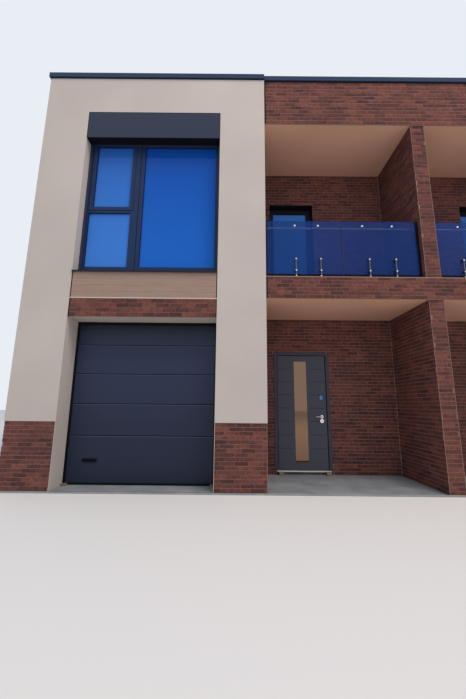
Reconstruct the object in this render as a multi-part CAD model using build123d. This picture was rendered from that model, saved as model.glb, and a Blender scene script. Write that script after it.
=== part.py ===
from build123d import *
import os

# Modern duplex house: two mirrored units that share one party wall.
# Millimetres. X runs along the street front, Z up, and every depth below is measured back
# from the cream street front. The origin is on the ground, at the middle of the plan.

# Street front of one unit, from its outer corner to the middle of the party wall
OUTER_PIER = 720
GARAGE_WIDTH = 2215
INNER_PIER = 740
PORCH_WIDTH = 2465
PARTY_WALL = 230
HOUSE_DEPTH = 9000
WALL = 350

# Heights, each above what lies below it
SLAB_TOP = 25
PORCH_STEP = 17
PLINTH_HEIGHT = 915
GARAGE_HEIGHT = 2440
BRICK_BAND = 285
BOARD_BAND = 435
WINDOW_HEIGHT = 2415
SHUTTER_LAP = 55
SHUTTER_HEIGHT = 490
PORCH_HEIGHT = 2760
FLOOR_BAND = 350
LOGGIA_HEIGHT = 2735
ROOF_SLAB = 300
SPANDREL_HEIGHT = 920

# Depths behind the cream front
BRICK_SETBACK = 30
FIN_SETBACK = 45
WINDOW_SETBACK = 190
PORCH_DEPTH = 1230
BALCONY_DOOR_SETBACK = 160
PANEL_SETBACK = 10

# Facings, ceilings and folded metal
SLIP = 20
PLINTH_RECESS = 6
CORNER_BEAD = 6
MOVEMENT_JOINT = 3
SOFFIT = 20
COPING_DROP = 85
COPING_OVERHANG = 25
COPING_PLATE = 20
SILL_PLATE = 10
SILL_OVERHANG = 20
SILL_LIP = 22

# Garage door, four joints above its foot
SECTION = 40
SECTION_LAP = 30
SECTION_GAP = 3
GARAGE_DOOR_BOTTOM = 50
FOOT_SECTION = 672
SECOND_SECTION = 467
UPPER_SECTION = 453
SECTION_CHAMFER = 6
TONGUE_INSET = 13
TONGUE_HEIGHT = 8
TONGUE_CLEARANCE = 1
PULL_WIDTH = 230
PULL_HEIGHT = 62
PULL_RIM = 9
PULL_PROUD = 12
PULL_FROM_JAMB = 362
PULL_LEVEL = 367
PACKER = 70

# Front door, in a steel frame; its leaf and metal threshold stand on packing blocks
DOOR_WIDTH = 1010
DOOR_HEIGHT = 2110
DOOR_FROM_PIER = 260
DOOR_PACKER = 45
THRESHOLD = 22
THRESHOLD_INSET = 32
DOOR_FRAME = 60
DOOR_FRAME_DEPTH = 90
DOOR_PROUD = 8
DOOR_GAP = 10
LEAF = 70
LEAF_SETBACK = 20
GLAZING_WIDTH = 228
GLAZING_FROM_EDGE = 300
GLAZING_FROM_FOOT = 111
GLAZING_HEIGHT = 1794
GLAZING_THICK = 30
GLAZING_RECESS = 6
GROOVE = 8
GROOVE_DEPTH = 4
GROOVE_PITCH = 235
GROOVE_FROM_FOOT = 355
GROOVE_MARGIN = 45
HINGE_FROM_FOOT = 245
HINGE_PITCH = 750
KNUCKLE_RADIUS = 8
KNUCKLE_HEIGHT = 50
KNUCKLE_GAP = 0.3
HINGE_OFFSET = 10
STRAP = 3
STRAP_LENGTH = 40
LEVER_FROM_FOOT = 909
LEVER_FROM_EDGE = 88
LEVER_LENGTH = 105
LEVER_BAR = 20
LEVER_THICK = 9
LEVER_NECK_RADIUS = 9
LEVER_REACH = 50
SPINDLE_RADIUS = 6
SPINDLE_CLEARANCE = 0.3
ROSETTE_RADIUS = 28
ROSETTE = 8
LOCK_BELOW_LEVER = 74
LOCK_RADIUS = 34
TOP_LOCK_ABOVE_LEVER = 349
TOP_LOCK_RADIUS = 24

# Balcony door, and the big window of one column of two lights and one large pane
BALCONY_DOOR_WIDTH = 868
BALCONY_DOOR_FROM_PIER = 218
BALCONY_DOOR_HEIGHT = 2060
FRAME_DEPTH = 80
FRAME_FACE = 64
FRAME_FOOT = 150
SASH_FACE = 58
SASH_PROUD = 8
SASH_LAP = 21
MULLION_FACE = 192
MULLION_FROM_JAMB = 748
MULLION_GROOVE = 12
LOWER_LIGHT = 950
TRANSOM = 105
GLASS_UNIT = 28
GUIDE_WIDTH = 38
GUIDE_DEPTH = 30
GUIDE_CLEARANCE = 0.5

# Balustrade: glass on four posts, with four point fixings for the handrail
GLASS_PLANE = 133
GLASS_SHEET = 17
GLASS_HEIGHT = 992
GLASS_SEAM = 14
FIRST_POST = 484
SECOND_POST = 872
THIRD_POST = 1635
LAST_POST = 2050
SECOND_PIN = 858
THIRD_PIN = 1572
POST_WIDTH = 14
POST_THICK = 14
POST_HEIGHT = 340
POST_FOOT_WIDTH = 48
POST_FOOT = 10
POST_TO_GLASS = 30
LOWER_CLAMP = 125
UPPER_CLAMP = 317
CLAMP = 32
RAIL_HEIGHT = 910
RAIL_RADIUS = 13
RAIL_BEHIND_GLASS = 60
RAIL_PIN = 12
RAIL_BUTTON_RADIUS = 16
RAIL_BUTTON = 8
RAIL_FLANGE_RADIUS = 32
RAIL_FLANGE = 8

# Rear windows, two columns of two in each unit, over each floor
REAR_WIDTH = 1500
OUTER_REAR_PIER = 855
INNER_REAR_PIER = 1400
LOWER_REAR_SILL = 975
LOWER_REAR_HEIGHT = 1465
UPPER_REAR_SILL = 915
UPPER_REAR_HEIGHT = 1400
REAR_MULLION = 110
REAR_SETBACK = 120

# Worked out from the sizes above, across the front
PARTY_FACE = -PARTY_WALL / 2
PORCH_LEFT = PARTY_FACE - PORCH_WIDTH
GARAGE_RIGHT = PORCH_LEFT - INNER_PIER
GARAGE_LEFT = GARAGE_RIGHT - GARAGE_WIDTH
OUTER_FACE = GARAGE_LEFT - OUTER_PIER
INNER_FACE = OUTER_FACE + WALL
FRONT = -HOUSE_DEPTH / 2
REAR_INNER = HOUSE_DEPTH - WALL

# Up the front
PORCH_FLOOR = SLAB_TOP - PORCH_STEP
PLINTH_TOP = SLAB_TOP + PLINTH_HEIGHT
GARAGE_HEAD = SLAB_TOP + GARAGE_HEIGHT
BAND_TOP = GARAGE_HEAD + BRICK_BAND
SILL_TOP = BAND_TOP + BOARD_BAND
WINDOW_HEAD = SILL_TOP + WINDOW_HEIGHT
SHUTTER_BOTTOM = WINDOW_HEAD - SHUTTER_LAP
SHUTTER_TOP = SHUTTER_BOTTOM + SHUTTER_HEIGHT
PORCH_CEILING = SLAB_TOP + PORCH_HEIGHT
FLOOR_UNDERSIDE = PORCH_CEILING + SOFFIT
BALCONY_FLOOR = PORCH_CEILING + FLOOR_BAND
LOGGIA_CEILING = BALCONY_FLOOR + LOGGIA_HEIGHT
ROOF_UNDERSIDE = LOGGIA_CEILING + SOFFIT
ROOF_TOP = ROOF_UNDERSIDE + ROOF_SLAB
WALL_TOP = LOGGIA_CEILING + SPANDREL_HEIGHT
COPING_TOP = WALL_TOP + COPING_PLATE
RECESS_STOREYS = [(PORCH_FLOOR, FLOOR_UNDERSIDE), (BALCONY_FLOOR, ROOF_UNDERSIDE)]

# At the doors
DOOR_LEFT = PORCH_LEFT + DOOR_FROM_PIER
DOOR_RIGHT = DOOR_LEFT + DOOR_WIDTH
DOOR_FOOT = PORCH_FLOOR + DOOR_PACKER
DOOR_HEAD = DOOR_FOOT + DOOR_HEIGHT
BALCONY_DOOR_LEFT = PORCH_LEFT + BALCONY_DOOR_FROM_PIER
BALCONY_DOOR_RIGHT = BALCONY_DOOR_LEFT + BALCONY_DOOR_WIDTH
BALCONY_DOOR_HEAD = BALCONY_FLOOR + BALCONY_DOOR_HEIGHT
DOORWAYS = [(DOOR_LEFT, DOOR_RIGHT, DOOR_HEAD), (BALCONY_DOOR_LEFT, BALCONY_DOOR_RIGHT, BALCONY_DOOR_HEAD)]
THRESHOLD_X = (DOOR_LEFT + THRESHOLD_INSET, DOOR_RIGHT - THRESHOLD_INSET)
FRAME_FRONT = PORCH_DEPTH - DOOR_PROUD
FRAME_BACK = FRAME_FRONT + DOOR_FRAME_DEPTH
LEAF_LEFT = DOOR_LEFT + DOOR_FRAME + DOOR_GAP
LEAF_RIGHT = DOOR_RIGHT - DOOR_FRAME - DOOR_GAP
LEAF_BOTTOM = DOOR_FOOT + THRESHOLD + DOOR_GAP
LEAF_TOP = DOOR_HEAD - DOOR_FRAME - DOOR_GAP
LEAF_FRONT = FRAME_FRONT + LEAF_SETBACK
LEAF_BACK = LEAF_FRONT + LEAF
HINGE_X = LEAF_LEFT - DOOR_GAP / 2
HINGE_DEPTH = LEAF_BACK + HINGE_OFFSET
LEVER_X = LEAF_RIGHT - LEVER_FROM_EDGE
LEVER_LEVEL = LEAF_BOTTOM + LEVER_FROM_FOOT
RAIL_LEVEL = BALCONY_FLOOR + RAIL_HEIGHT


def block(x, depth, z):
    """A box between two values of X, two depths behind the street front and two heights."""
    size = (x[1] - x[0], depth[1] - depth[0], z[1] - z[0])
    middle = ((x[0] + x[1]) / 2, FRONT + (depth[0] + depth[1]) / 2, (z[0] + z[1]) / 2)
    return Pos(*middle) * Box(*size)


def rod(start, end, radius):
    """A round bar between two points, each given as X, depth and height."""
    a = Vector(start[0], FRONT + start[1], start[2])
    b = Vector(end[0], FRONT + end[1], end[2])
    bar = Cylinder(radius, (b - a).length, align=(Align.CENTER, Align.CENTER, Align.MIN))
    return Plane(a, z_dir=b - a) * bar


def section_along_x(points, x):
    """A closed section of depths and heights, carried along X."""
    outline = [(FRONT + depth, z) for depth, z in points]
    face = Plane.YZ.offset(x[0]) * make_face(Polyline(*outline, close=True))
    return extrude(face, x[1] - x[0], dir=(1, 0, 0))


def section_along_depth(points, depth):
    """A closed section of X and heights, carried back from the street."""
    face = make_face(Polyline(*[(x, FRONT + depth[0], z) for x, z in points], close=True))
    return extrude(face, depth[1] - depth[0], dir=(0, 1, 0))


def plan(points, z):
    """A closed outline of X and depths, carried up between two heights."""
    face = make_face(Polyline(*[(x, FRONT + depth, z[0]) for x, depth in points], close=True))
    return extrude(face, z[1] - z[0], dir=(0, 0, 1))


def both(shapes):
    """The shapes of the left unit and their mirror images in the right unit."""
    return list(shapes) + [mirror(shape, about=Plane.YZ) for shape in shapes]


def write(name, shapes):
    solids = [solid for shape in shapes for solid in shape.solids()]
    body = solids[0] if len(solids) == 1 else Compound(children=solids)
    export_step(body, f"parts/{name}.step")


# Ground, floors, ceilings and roof

def ground_slab():
    """The slab of one unit, a step lower in the porch, and under its walls and its door's frame."""
    middle = -MOVEMENT_JOINT / 2
    outline = [
        (OUTER_FACE, 0), (PARTY_FACE, 0), (PARTY_FACE, REAR_INNER),
        (middle, REAR_INNER), (middle, HOUSE_DEPTH), (OUTER_FACE, HOUSE_DEPTH),
    ]
    wall_back = PORCH_DEPTH + WALL
    lower_part = [
        (PORCH_LEFT, 0), (PARTY_FACE, 0), (PARTY_FACE, wall_back), (DOOR_RIGHT, wall_back),
        (DOOR_RIGHT, FRAME_BACK), (DOOR_LEFT, FRAME_BACK), (DOOR_LEFT, wall_back),
        (PORCH_LEFT - WALL, wall_back), (PORCH_LEFT - WALL, WALL), (PORCH_LEFT, WALL),
    ]
    return plan(outline, (0, SLAB_TOP)) - plan(lower_part, (PORCH_FLOOR, SLAB_TOP))


def floor_slab():
    outline = [
        (INNER_FACE, WALL), (PORCH_LEFT, WALL), (PORCH_LEFT, PORCH_DEPTH),
        (PARTY_FACE, PORCH_DEPTH), (PARTY_FACE, REAR_INNER), (INNER_FACE, REAR_INNER),
    ]
    return plan(outline, (FLOOR_UNDERSIDE, BALCONY_FLOOR))


def across_the_recess(depth, z):
    """A slab that spans the recessed middle of both units, over the party fin."""
    return block((PORCH_LEFT, -PORCH_LEFT), depth, z)


def balcony_slab():
    return across_the_recess((BRICK_SETBACK + SLIP, PORCH_DEPTH), (FLOOR_UNDERSIDE, BALCONY_FLOOR))


def recess_ceiling(underside):
    return across_the_recess((BRICK_SETBACK + SLIP, PORCH_DEPTH), (underside, underside + SOFFIT))


def roof_slab():
    return block((INNER_FACE, -INNER_FACE), (WALL, REAR_INNER), (ROOF_UNDERSIDE, ROOF_TOP))


# Masonry

def plinth_zone():
    """The rebate for brick slips in the outer faces of the walls of one unit."""
    z = (SLAB_TOP, PLINTH_TOP)
    return [
        block((OUTER_FACE, GARAGE_LEFT - CORNER_BEAD), (0, SLIP), z),
        block((GARAGE_RIGHT + CORNER_BEAD, PORCH_LEFT), (0, SLIP), z),
        block((OUTER_FACE, OUTER_FACE + SLIP), (0, HOUSE_DEPTH), z),
        block((PORCH_LEFT - SLIP, PORCH_LEFT), (0, WALL), z),
        block((OUTER_FACE, 0), (HOUSE_DEPTH - SLIP, HOUSE_DEPTH), z),
    ]


def rebated(wall):
    for zone in both(plinth_zone()):
        wall = wall - zone
    return wall


def portal_piers():
    spans = [(OUTER_FACE, GARAGE_LEFT), (GARAGE_RIGHT, PORCH_LEFT)]
    return [rebated(block(x, (0, WALL), (SLAB_TOP, WALL_TOP))) for x in spans]


def garage_lintel():
    depth = (PANEL_SETBACK + SLIP, WALL)
    return block((GARAGE_LEFT, GARAGE_RIGHT), depth, (GARAGE_HEAD, SILL_TOP - SILL_PLATE))


def window_lintel():
    """The wall over the big window, rebated at its foot for the shutter box."""
    section = [
        (0, SHUTTER_TOP), (WINDOW_SETBACK, SHUTTER_TOP), (WINDOW_SETBACK, WINDOW_HEAD),
        (WALL, WINDOW_HEAD), (WALL, WALL_TOP), (0, WALL_TOP),
    ]
    return section_along_x(section, (GARAGE_LEFT, GARAGE_RIGHT))


def side_wall():
    return rebated(block((OUTER_FACE, INNER_FACE), (WALL, REAR_INNER), (SLAB_TOP, WALL_TOP)))


def rear_columns():
    first = OUTER_FACE + OUTER_REAR_PIER
    second = first + REAR_WIDTH + INNER_REAR_PIER
    left = [(x, x + REAR_WIDTH) for x in (first, second)]
    return left + [(-b, -a) for a, b in reversed(left)]


def rear_window_heights():
    lower = SLAB_TOP + LOWER_REAR_SILL
    upper = BALCONY_FLOOR + UPPER_REAR_SILL
    return [(lower, lower + LOWER_REAR_HEIGHT), (upper, upper + UPPER_REAR_HEIGHT)]


def rear_wall_piers():
    edges = [OUTER_FACE] + [edge for column in rear_columns() for edge in column] + [-OUTER_FACE]
    spans = zip(edges[0::2], edges[1::2])
    return [rebated(block(x, (REAR_INNER, HOUSE_DEPTH), (SLAB_TOP, WALL_TOP))) for x in spans]


def rear_wall_infills():
    levels = [SLAB_TOP] + [z for heights in rear_window_heights() for z in heights] + [WALL_TOP]
    heights = list(zip(levels[0::2], levels[1::2]))
    return [rebated(block(x, (REAR_INNER, HOUSE_DEPTH), z)) for x in rear_columns() for z in heights]


def party_wall():
    return block((PARTY_FACE, -PARTY_FACE), (PORCH_DEPTH, REAR_INNER), (0, ROOF_UNDERSIDE))


def party_fin():
    x = (PARTY_FACE, -PARTY_FACE)
    depth = (FIN_SETBACK, PORCH_DEPTH)
    return [block(x, depth, (0, PORCH_CEILING)), block(x, depth, (BALCONY_FLOOR, LOGGIA_CEILING))]


def recess_side_walls():
    x = (PORCH_LEFT - WALL, PORCH_LEFT)
    return [block(x, (WALL, PORCH_DEPTH + WALL), z) for z in RECESS_STOREYS]


def back_walls_beside_doors():
    depth = (PORCH_DEPTH, PORCH_DEPTH + WALL)
    pieces = []
    for z, (left, right, head) in zip(RECESS_STOREYS, DOORWAYS):
        pieces.append(block((PORCH_LEFT, left), depth, z))
        pieces.append(block((right, PARTY_FACE), depth, z))
    return pieces


def back_walls_over_doors():
    depth = (PORCH_DEPTH, PORCH_DEPTH + WALL)
    heights = [z[1] for z in RECESS_STOREYS]
    return [block((left, right), depth, (head, top)) for top, (left, right, head) in zip(heights, DOORWAYS)]


def spandrel_beam():
    return across_the_recess((BRICK_SETBACK + SLIP, WALL), (ROOF_UNDERSIDE, WALL_TOP))


# Facings

def recess_brick_bands():
    """Brick slips along the front of the spandrel and of the balcony slab."""
    depth = (BRICK_SETBACK, BRICK_SETBACK + SLIP)
    heights = [(PORCH_CEILING, BALCONY_FLOOR), (LOGGIA_CEILING, WALL_TOP)]
    return [across_the_recess(depth, z) for z in heights]


def portal_facing(z):
    return block((GARAGE_LEFT, GARAGE_RIGHT), (PANEL_SETBACK, PANEL_SETBACK + SLIP), z)


def brick_plinth():
    """Brick slips round the foot of the walls, in straight panels a joint apart."""
    z = (SLAB_TOP, PLINTH_TOP)
    face = (PLINTH_RECESS, SLIP)
    outer = (OUTER_FACE + PLINTH_RECESS, OUTER_FACE + SLIP)
    inner = (PORCH_LEFT - SLIP, PORCH_LEFT - PLINTH_RECESS)
    past_corner = SLIP + MOVEMENT_JOINT
    rear = block((outer[0], -outer[0]), (HOUSE_DEPTH - SLIP, HOUSE_DEPTH - PLINTH_RECESS), z)
    return [rear] + both([
        block((outer[0], GARAGE_LEFT - CORNER_BEAD), face, z),
        block((GARAGE_RIGHT + CORNER_BEAD, inner[1]), face, z),
        block(outer, (past_corner, HOUSE_DEPTH - past_corner), z),
        block(inner, (past_corner, WALL), z),
    ])


def cap_section(outer, inner):
    """A folded metal cap: a plate over the wall's top, with a leg down each of its faces."""
    low = COPING_TOP - COPING_DROP
    return [
        (outer - COPING_OVERHANG, low), (outer, low), (outer, WALL_TOP), (inner, WALL_TOP),
        (inner, low), (inner + COPING_OVERHANG, low), (inner + COPING_OVERHANG, COPING_TOP),
        (outer - COPING_OVERHANG, COPING_TOP),
    ]


def cap_end(depth):
    x = (OUTER_FACE - COPING_OVERHANG, OUTER_FACE)
    overhung = (depth[0] - COPING_OVERHANG, depth[1] + COPING_OVERHANG)
    return block(x, overhung, (COPING_TOP - COPING_DROP, COPING_TOP))


def inner_corner(depth):
    """The room that a front or rear cap leaves for the side wall that runs into it."""
    return block((OUTER_FACE, INNER_FACE), depth, (COPING_TOP - COPING_DROP, WALL_TOP))


def coping():
    front = section_along_x(cap_section(0, WALL), (OUTER_FACE, PORCH_LEFT)) + cap_end((0, WALL))
    front = front - inner_corner((WALL, WALL + COPING_OVERHANG))
    middle_x = PORCH_LEFT + MOVEMENT_JOINT
    middle = section_along_x(cap_section(BRICK_SETBACK, WALL), (middle_x, -middle_x))
    rear = section_along_x(cap_section(REAR_INNER, HOUSE_DEPTH), (OUTER_FACE, -OUTER_FACE))
    ends = cap_end((REAR_INNER, HOUSE_DEPTH))
    rear = rear + ends + mirror(ends, about=Plane.YZ)
    corner = inner_corner((REAR_INNER - COPING_OVERHANG, REAR_INNER))
    rear = rear - corner - mirror(corner, about=Plane.YZ)
    past_cap = WALL + COPING_OVERHANG + MOVEMENT_JOINT
    side = section_along_depth(cap_section(OUTER_FACE, INNER_FACE), (past_cap, HOUSE_DEPTH - past_cap))
    return both([front, side]) + [middle, rear]


# Windows and the balcony door

def shutter_box():
    return block((GARAGE_LEFT, GARAGE_RIGHT), (0, WINDOW_SETBACK), (SHUTTER_BOTTOM, SHUTTER_TOP))


def shutter_guides():
    """The rails on the window frame that a lowered shutter would run in, just short of the box."""
    depth = (WINDOW_SETBACK - GUIDE_DEPTH, WINDOW_SETBACK)
    z = (SILL_TOP, SHUTTER_BOTTOM - GUIDE_CLEARANCE)
    spans = [(GARAGE_LEFT, GARAGE_LEFT + GUIDE_WIDTH), (GARAGE_RIGHT - GUIDE_WIDTH, GARAGE_RIGHT)]
    return [block(x, depth, z) for x in spans]


def front_sill():
    """A folded sill under the window frame, with a short lip over the wall's front."""
    back = WINDOW_SETBACK + FRAME_DEPTH
    low = SILL_TOP - SILL_PLATE
    section = [
        (back, SILL_TOP), (-SILL_OVERHANG, SILL_TOP), (-SILL_OVERHANG, SILL_TOP - SILL_LIP),
        (SILL_PLATE - SILL_OVERHANG, SILL_TOP - SILL_LIP), (SILL_PLATE - SILL_OVERHANG, low), (back, low),
    ]
    return section_along_x(section, (GARAGE_LEFT, GARAGE_RIGHT))


def light_bounds():
    """The three lights of the big window: upper sash, lower fixed light and large pane."""
    column = (GARAGE_LEFT + FRAME_FACE, GARAGE_LEFT + MULLION_FROM_JAMB)
    large = (column[1] + MULLION_FACE, GARAGE_RIGHT - FRAME_FACE)
    low = SILL_TOP + FRAME_FOOT
    high = WINDOW_HEAD - FRAME_FACE
    transom = low + LOWER_LIGHT
    sash = (column[0] + SASH_FACE, column[1] - SASH_LAP), (transom + TRANSOM, high)
    return [sash, (column, (low, transom)), (large, (low, high))]


def window_frame():
    """The frame, with a proud sash whose head is hidden behind the shutter box."""
    depth = (WINDOW_SETBACK, WINDOW_SETBACK + FRAME_DEPTH)
    frame = block((GARAGE_LEFT, GARAGE_RIGHT), depth, (SILL_TOP, WINDOW_HEAD))
    (sash_x, sash_z), *_ = light_bounds()
    sash = block(
        (sash_x[0] - SASH_FACE, sash_x[1] + SASH_FACE),
        (WINDOW_SETBACK - SASH_PROUD, WINDOW_SETBACK),
        (sash_z[0] - SASH_FACE, SHUTTER_BOTTOM),
    )
    frame = frame + sash
    for x, z in light_bounds():
        frame = frame - block(x, (WINDOW_SETBACK - SASH_PROUD, depth[1]), z)
    groove_x = GARAGE_LEFT + MULLION_FROM_JAMB + (MULLION_FACE + SASH_FACE) / 2
    groove = (groove_x - MULLION_GROOVE / 2, groove_x + MULLION_GROOVE / 2)
    return frame - block(groove, (WINDOW_SETBACK, WINDOW_SETBACK + MULLION_GROOVE), (SILL_TOP, WINDOW_HEAD))


def pane(x, z, front):
    middle = front + FRAME_DEPTH / 2
    return block(x, (middle - GLASS_UNIT / 2, middle + GLASS_UNIT / 2), z)


def balcony_door_front():
    return PORCH_DEPTH + BALCONY_DOOR_SETBACK


def balcony_door_light():
    side = FRAME_FACE + SASH_FACE / 2
    x = (BALCONY_DOOR_LEFT + side, BALCONY_DOOR_RIGHT - side)
    return x, (BALCONY_FLOOR + side + SASH_FACE, BALCONY_DOOR_HEAD - side)


def balcony_door_frame():
    front = balcony_door_front()
    depth = (front, front + FRAME_DEPTH)
    frame = block((BALCONY_DOOR_LEFT, BALCONY_DOOR_RIGHT), depth, (BALCONY_FLOOR, BALCONY_DOOR_HEAD))
    x, z = balcony_door_light()
    border = SASH_FACE
    sash = block((x[0] - border, x[1] + border), (front - SASH_PROUD, front), (z[0] - border, z[1] + border))
    return frame + sash - block(x, (front - SASH_PROUD, depth[1]), z)


def rear_windows():
    return [(x, z) for x in rear_columns() for z in rear_window_heights()]


def rear_lights(x, z):
    middle = (x[0] + x[1]) / 2
    low, high = z[0] + FRAME_FACE, z[1] - FRAME_FACE
    left = (x[0] + FRAME_FACE, middle - REAR_MULLION / 2)
    right = (middle + REAR_MULLION / 2, x[1] - FRAME_FACE)
    return [(left, (low, high)), (right, (low, high))]


def rear_frame_depth():
    return HOUSE_DEPTH - REAR_SETBACK - FRAME_DEPTH, HOUSE_DEPTH - REAR_SETBACK


def rear_window_frame(x, z):
    frame = block(x, rear_frame_depth(), z)
    for light_x, light_z in rear_lights(x, z):
        frame = frame - block(light_x, rear_frame_depth(), light_z)
    return frame


def rear_sill(x, z):
    depth = (rear_frame_depth()[1], HOUSE_DEPTH + SILL_OVERHANG)
    return block(x, depth, (z[0], z[0] + SILL_PLATE))


def glass_units():
    front = [pane(x, z, WINDOW_SETBACK) for x, z in light_bounds()]
    front.append(pane(*balcony_door_light(), balcony_door_front()))
    rear = [
        pane(light_x, light_z, rear_frame_depth()[0])
        for x, z in rear_windows() for light_x, light_z in rear_lights(x, z)
    ]
    return both(front) + rear


# Garage door

def door_section(low, high, tongued):
    """One section, with a chamfered face, a groove along its foot and a tongue along its head."""
    front, back = WALL, WALL + SECTION
    slot = TONGUE_INSET - TONGUE_CLEARANCE
    slot_top = low + SECTION_GAP + TONGUE_HEIGHT
    points = [
        (front, low + SECTION_CHAMFER), (front + SECTION_CHAMFER, low), (front + slot, low),
        (front + slot, slot_top), (back - slot, slot_top), (back - slot, low), (back, low), (back, high),
    ]
    if tongued:
        tip = high + TONGUE_HEIGHT
        points += [
            (back - TONGUE_INSET, high), (back - TONGUE_INSET, tip),
            (front + TONGUE_INSET, tip), (front + TONGUE_INSET, high),
        ]
    points += [(front + SECTION_CHAMFER, high), (front, high - SECTION_CHAMFER)]
    return section_along_x(points, (GARAGE_LEFT - SECTION_LAP, GARAGE_RIGHT + SECTION_LAP))


def garage_door_sections():
    """Four sections of set heights, and a top one that fills the opening up to its lap."""
    sections = []
    low = GARAGE_DOOR_BOTTOM
    for height in (FOOT_SECTION, SECOND_SECTION, UPPER_SECTION, UPPER_SECTION):
        sections.append(door_section(low, low + height - SECTION_GAP, True))
        low += height
    return sections + [door_section(low, GARAGE_HEAD + SECTION_LAP, False)]


def garage_door_pull():
    """A round-ended rim round the finger recess of the bottom section."""
    centre = (GARAGE_LEFT + PULL_FROM_JAMB, FRONT + WALL, PULL_LEVEL)
    plane = Plane(centre, x_dir=(1, 0, 0), z_dir=(0, -1, 0))
    outer = SlotOverall(PULL_WIDTH, PULL_HEIGHT)
    inner = SlotOverall(PULL_WIDTH - 2 * PULL_RIM, PULL_HEIGHT - 2 * PULL_RIM)
    return extrude(plane * (outer - inner), PULL_PROUD)


def garage_door_seal():
    x = (GARAGE_LEFT + PACKER, GARAGE_RIGHT - PACKER)
    return block(x, (WALL, WALL + SECTION), (SLAB_TOP, GARAGE_DOOR_BOTTOM))


def packing_blocks():
    """The loose blocks under the garage door's corners and under the front door's threshold."""
    garage = [
        block((x, x + PACKER), (WALL - PACKER, WALL + SECTION), (SLAB_TOP, GARAGE_DOOR_BOTTOM))
        for x in (GARAGE_LEFT, GARAGE_RIGHT - PACKER)
    ]
    door = [
        block((x, x + PACKER), (FRAME_FRONT, FRAME_BACK), (PORCH_FLOOR, DOOR_FOOT))
        for x in (DOOR_LEFT + DOOR_FRAME, DOOR_RIGHT - DOOR_FRAME - PACKER)
    ]
    return garage + door


# Front door

def door_threshold():
    return block(THRESHOLD_X, (FRAME_FRONT, FRAME_BACK), (DOOR_FOOT, DOOR_FOOT + THRESHOLD))


def knuckles(low_offset, strap_x):
    """Barrels on the hinge line, each on a strap that is screwed flat to the inner face."""
    shapes = []
    for place in range(3):
        low = LEAF_BOTTOM + HINGE_FROM_FOOT + HINGE_PITCH * place + low_offset
        high = low + KNUCKLE_HEIGHT
        shapes.append(rod((HINGE_X, HINGE_DEPTH, low), (HINGE_X, HINGE_DEPTH, high), KNUCKLE_RADIUS))
        shapes.append(block(strap_x, (LEAF_BACK, LEAF_BACK + STRAP), (low, high)))
    return shapes


def door_frame():
    """The frame's uprights, notched for the threshold, and its head, with the fixed hinge knuckles."""
    depth = (FRAME_FRONT, FRAME_BACK)
    inner = (DOOR_LEFT + DOOR_FRAME, DOOR_RIGHT - DOOR_FRAME)
    frame = block((DOOR_LEFT, DOOR_RIGHT), depth, (PORCH_FLOOR, DOOR_HEAD))
    frame = frame - block(inner, depth, (PORCH_FLOOR, DOOR_HEAD - DOOR_FRAME))
    frame = frame - block(THRESHOLD_X, depth, (PORCH_FLOOR, DOOR_FOOT + THRESHOLD))
    for shape in knuckles(0, (HINGE_X - STRAP_LENGTH, HINGE_X)):
        frame = frame + shape
    return frame


def glazing_bounds():
    left = LEAF_LEFT + GLAZING_FROM_EDGE
    foot = LEAF_BOTTOM + GLAZING_FROM_FOOT
    return (left, left + GLAZING_WIDTH), (foot, foot + GLAZING_HEIGHT)


def leaf_grooves():
    """Level grooves across the outer face, on both sides of the glazing strip."""
    (glass_left, glass_right), _ = glazing_bounds()
    depth = (LEAF_FRONT, LEAF_FRONT + GROOVE_DEPTH)
    spans = [
        (LEAF_LEFT + GROOVE_MARGIN, glass_left - GROOVE_MARGIN),
        (glass_right + GROOVE_MARGIN, LEAF_RIGHT - GROOVE_MARGIN),
    ]
    levels = [LEAF_BOTTOM + GROOVE_FROM_FOOT + GROOVE_PITCH * place for place in range(7)]
    return [block(x, depth, (z - GROOVE / 2, z + GROOVE / 2)) for x in spans for z in levels]


def through_leaf(x, z, radius):
    return rod((x, LEAF_FRONT, z), (x, LEAF_BACK, z), radius)


def door_leaf():
    leaf = block((LEAF_LEFT, LEAF_RIGHT), (LEAF_FRONT, LEAF_BACK), (LEAF_BOTTOM, LEAF_TOP))
    x, z = glazing_bounds()
    leaf = leaf - block(x, (LEAF_FRONT, LEAF_BACK), z)
    leaf = leaf - through_leaf(LEVER_X, LEVER_LEVEL, SPINDLE_RADIUS + SPINDLE_CLEARANCE)
    for groove in leaf_grooves():
        leaf = leaf - groove
    for shape in knuckles(KNUCKLE_HEIGHT + KNUCKLE_GAP, (HINGE_X, HINGE_X + STRAP_LENGTH)):
        leaf = leaf + shape
    return leaf


def door_glazing():
    x, z = glazing_bounds()
    front = LEAF_FRONT + GLAZING_RECESS
    return block(x, (front, front + GLAZING_THICK), z)


def rose(x, z, radius, bore):
    """A disc on the outer and on the inner face of the leaf, bored where a spindle passes."""
    outer = rod((x, LEAF_FRONT - ROSETTE, z), (x, LEAF_FRONT, z), radius)
    inner = rod((x, LEAF_BACK, z), (x, LEAF_BACK + ROSETTE, z), radius)
    if bore:
        hole = rod((x, LEAF_FRONT - ROSETTE, z), (x, LEAF_BACK + ROSETTE, z), bore)
        return [outer - hole, inner - hole]
    return [outer, inner]


def door_furniture():
    lever_rose = rose(LEVER_X, LEVER_LEVEL, ROSETTE_RADIUS, LEVER_NECK_RADIUS + SPINDLE_CLEARANCE)
    lock_rose = rose(LEVER_X, LEVER_LEVEL - LOCK_BELOW_LEVER, LOCK_RADIUS, 0)
    top_rose = rose(LEVER_X, LEVER_LEVEL + TOP_LOCK_ABOVE_LEVER, TOP_LOCK_RADIUS, 0)
    return lever_rose + lock_rose + top_rose[:1]


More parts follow.
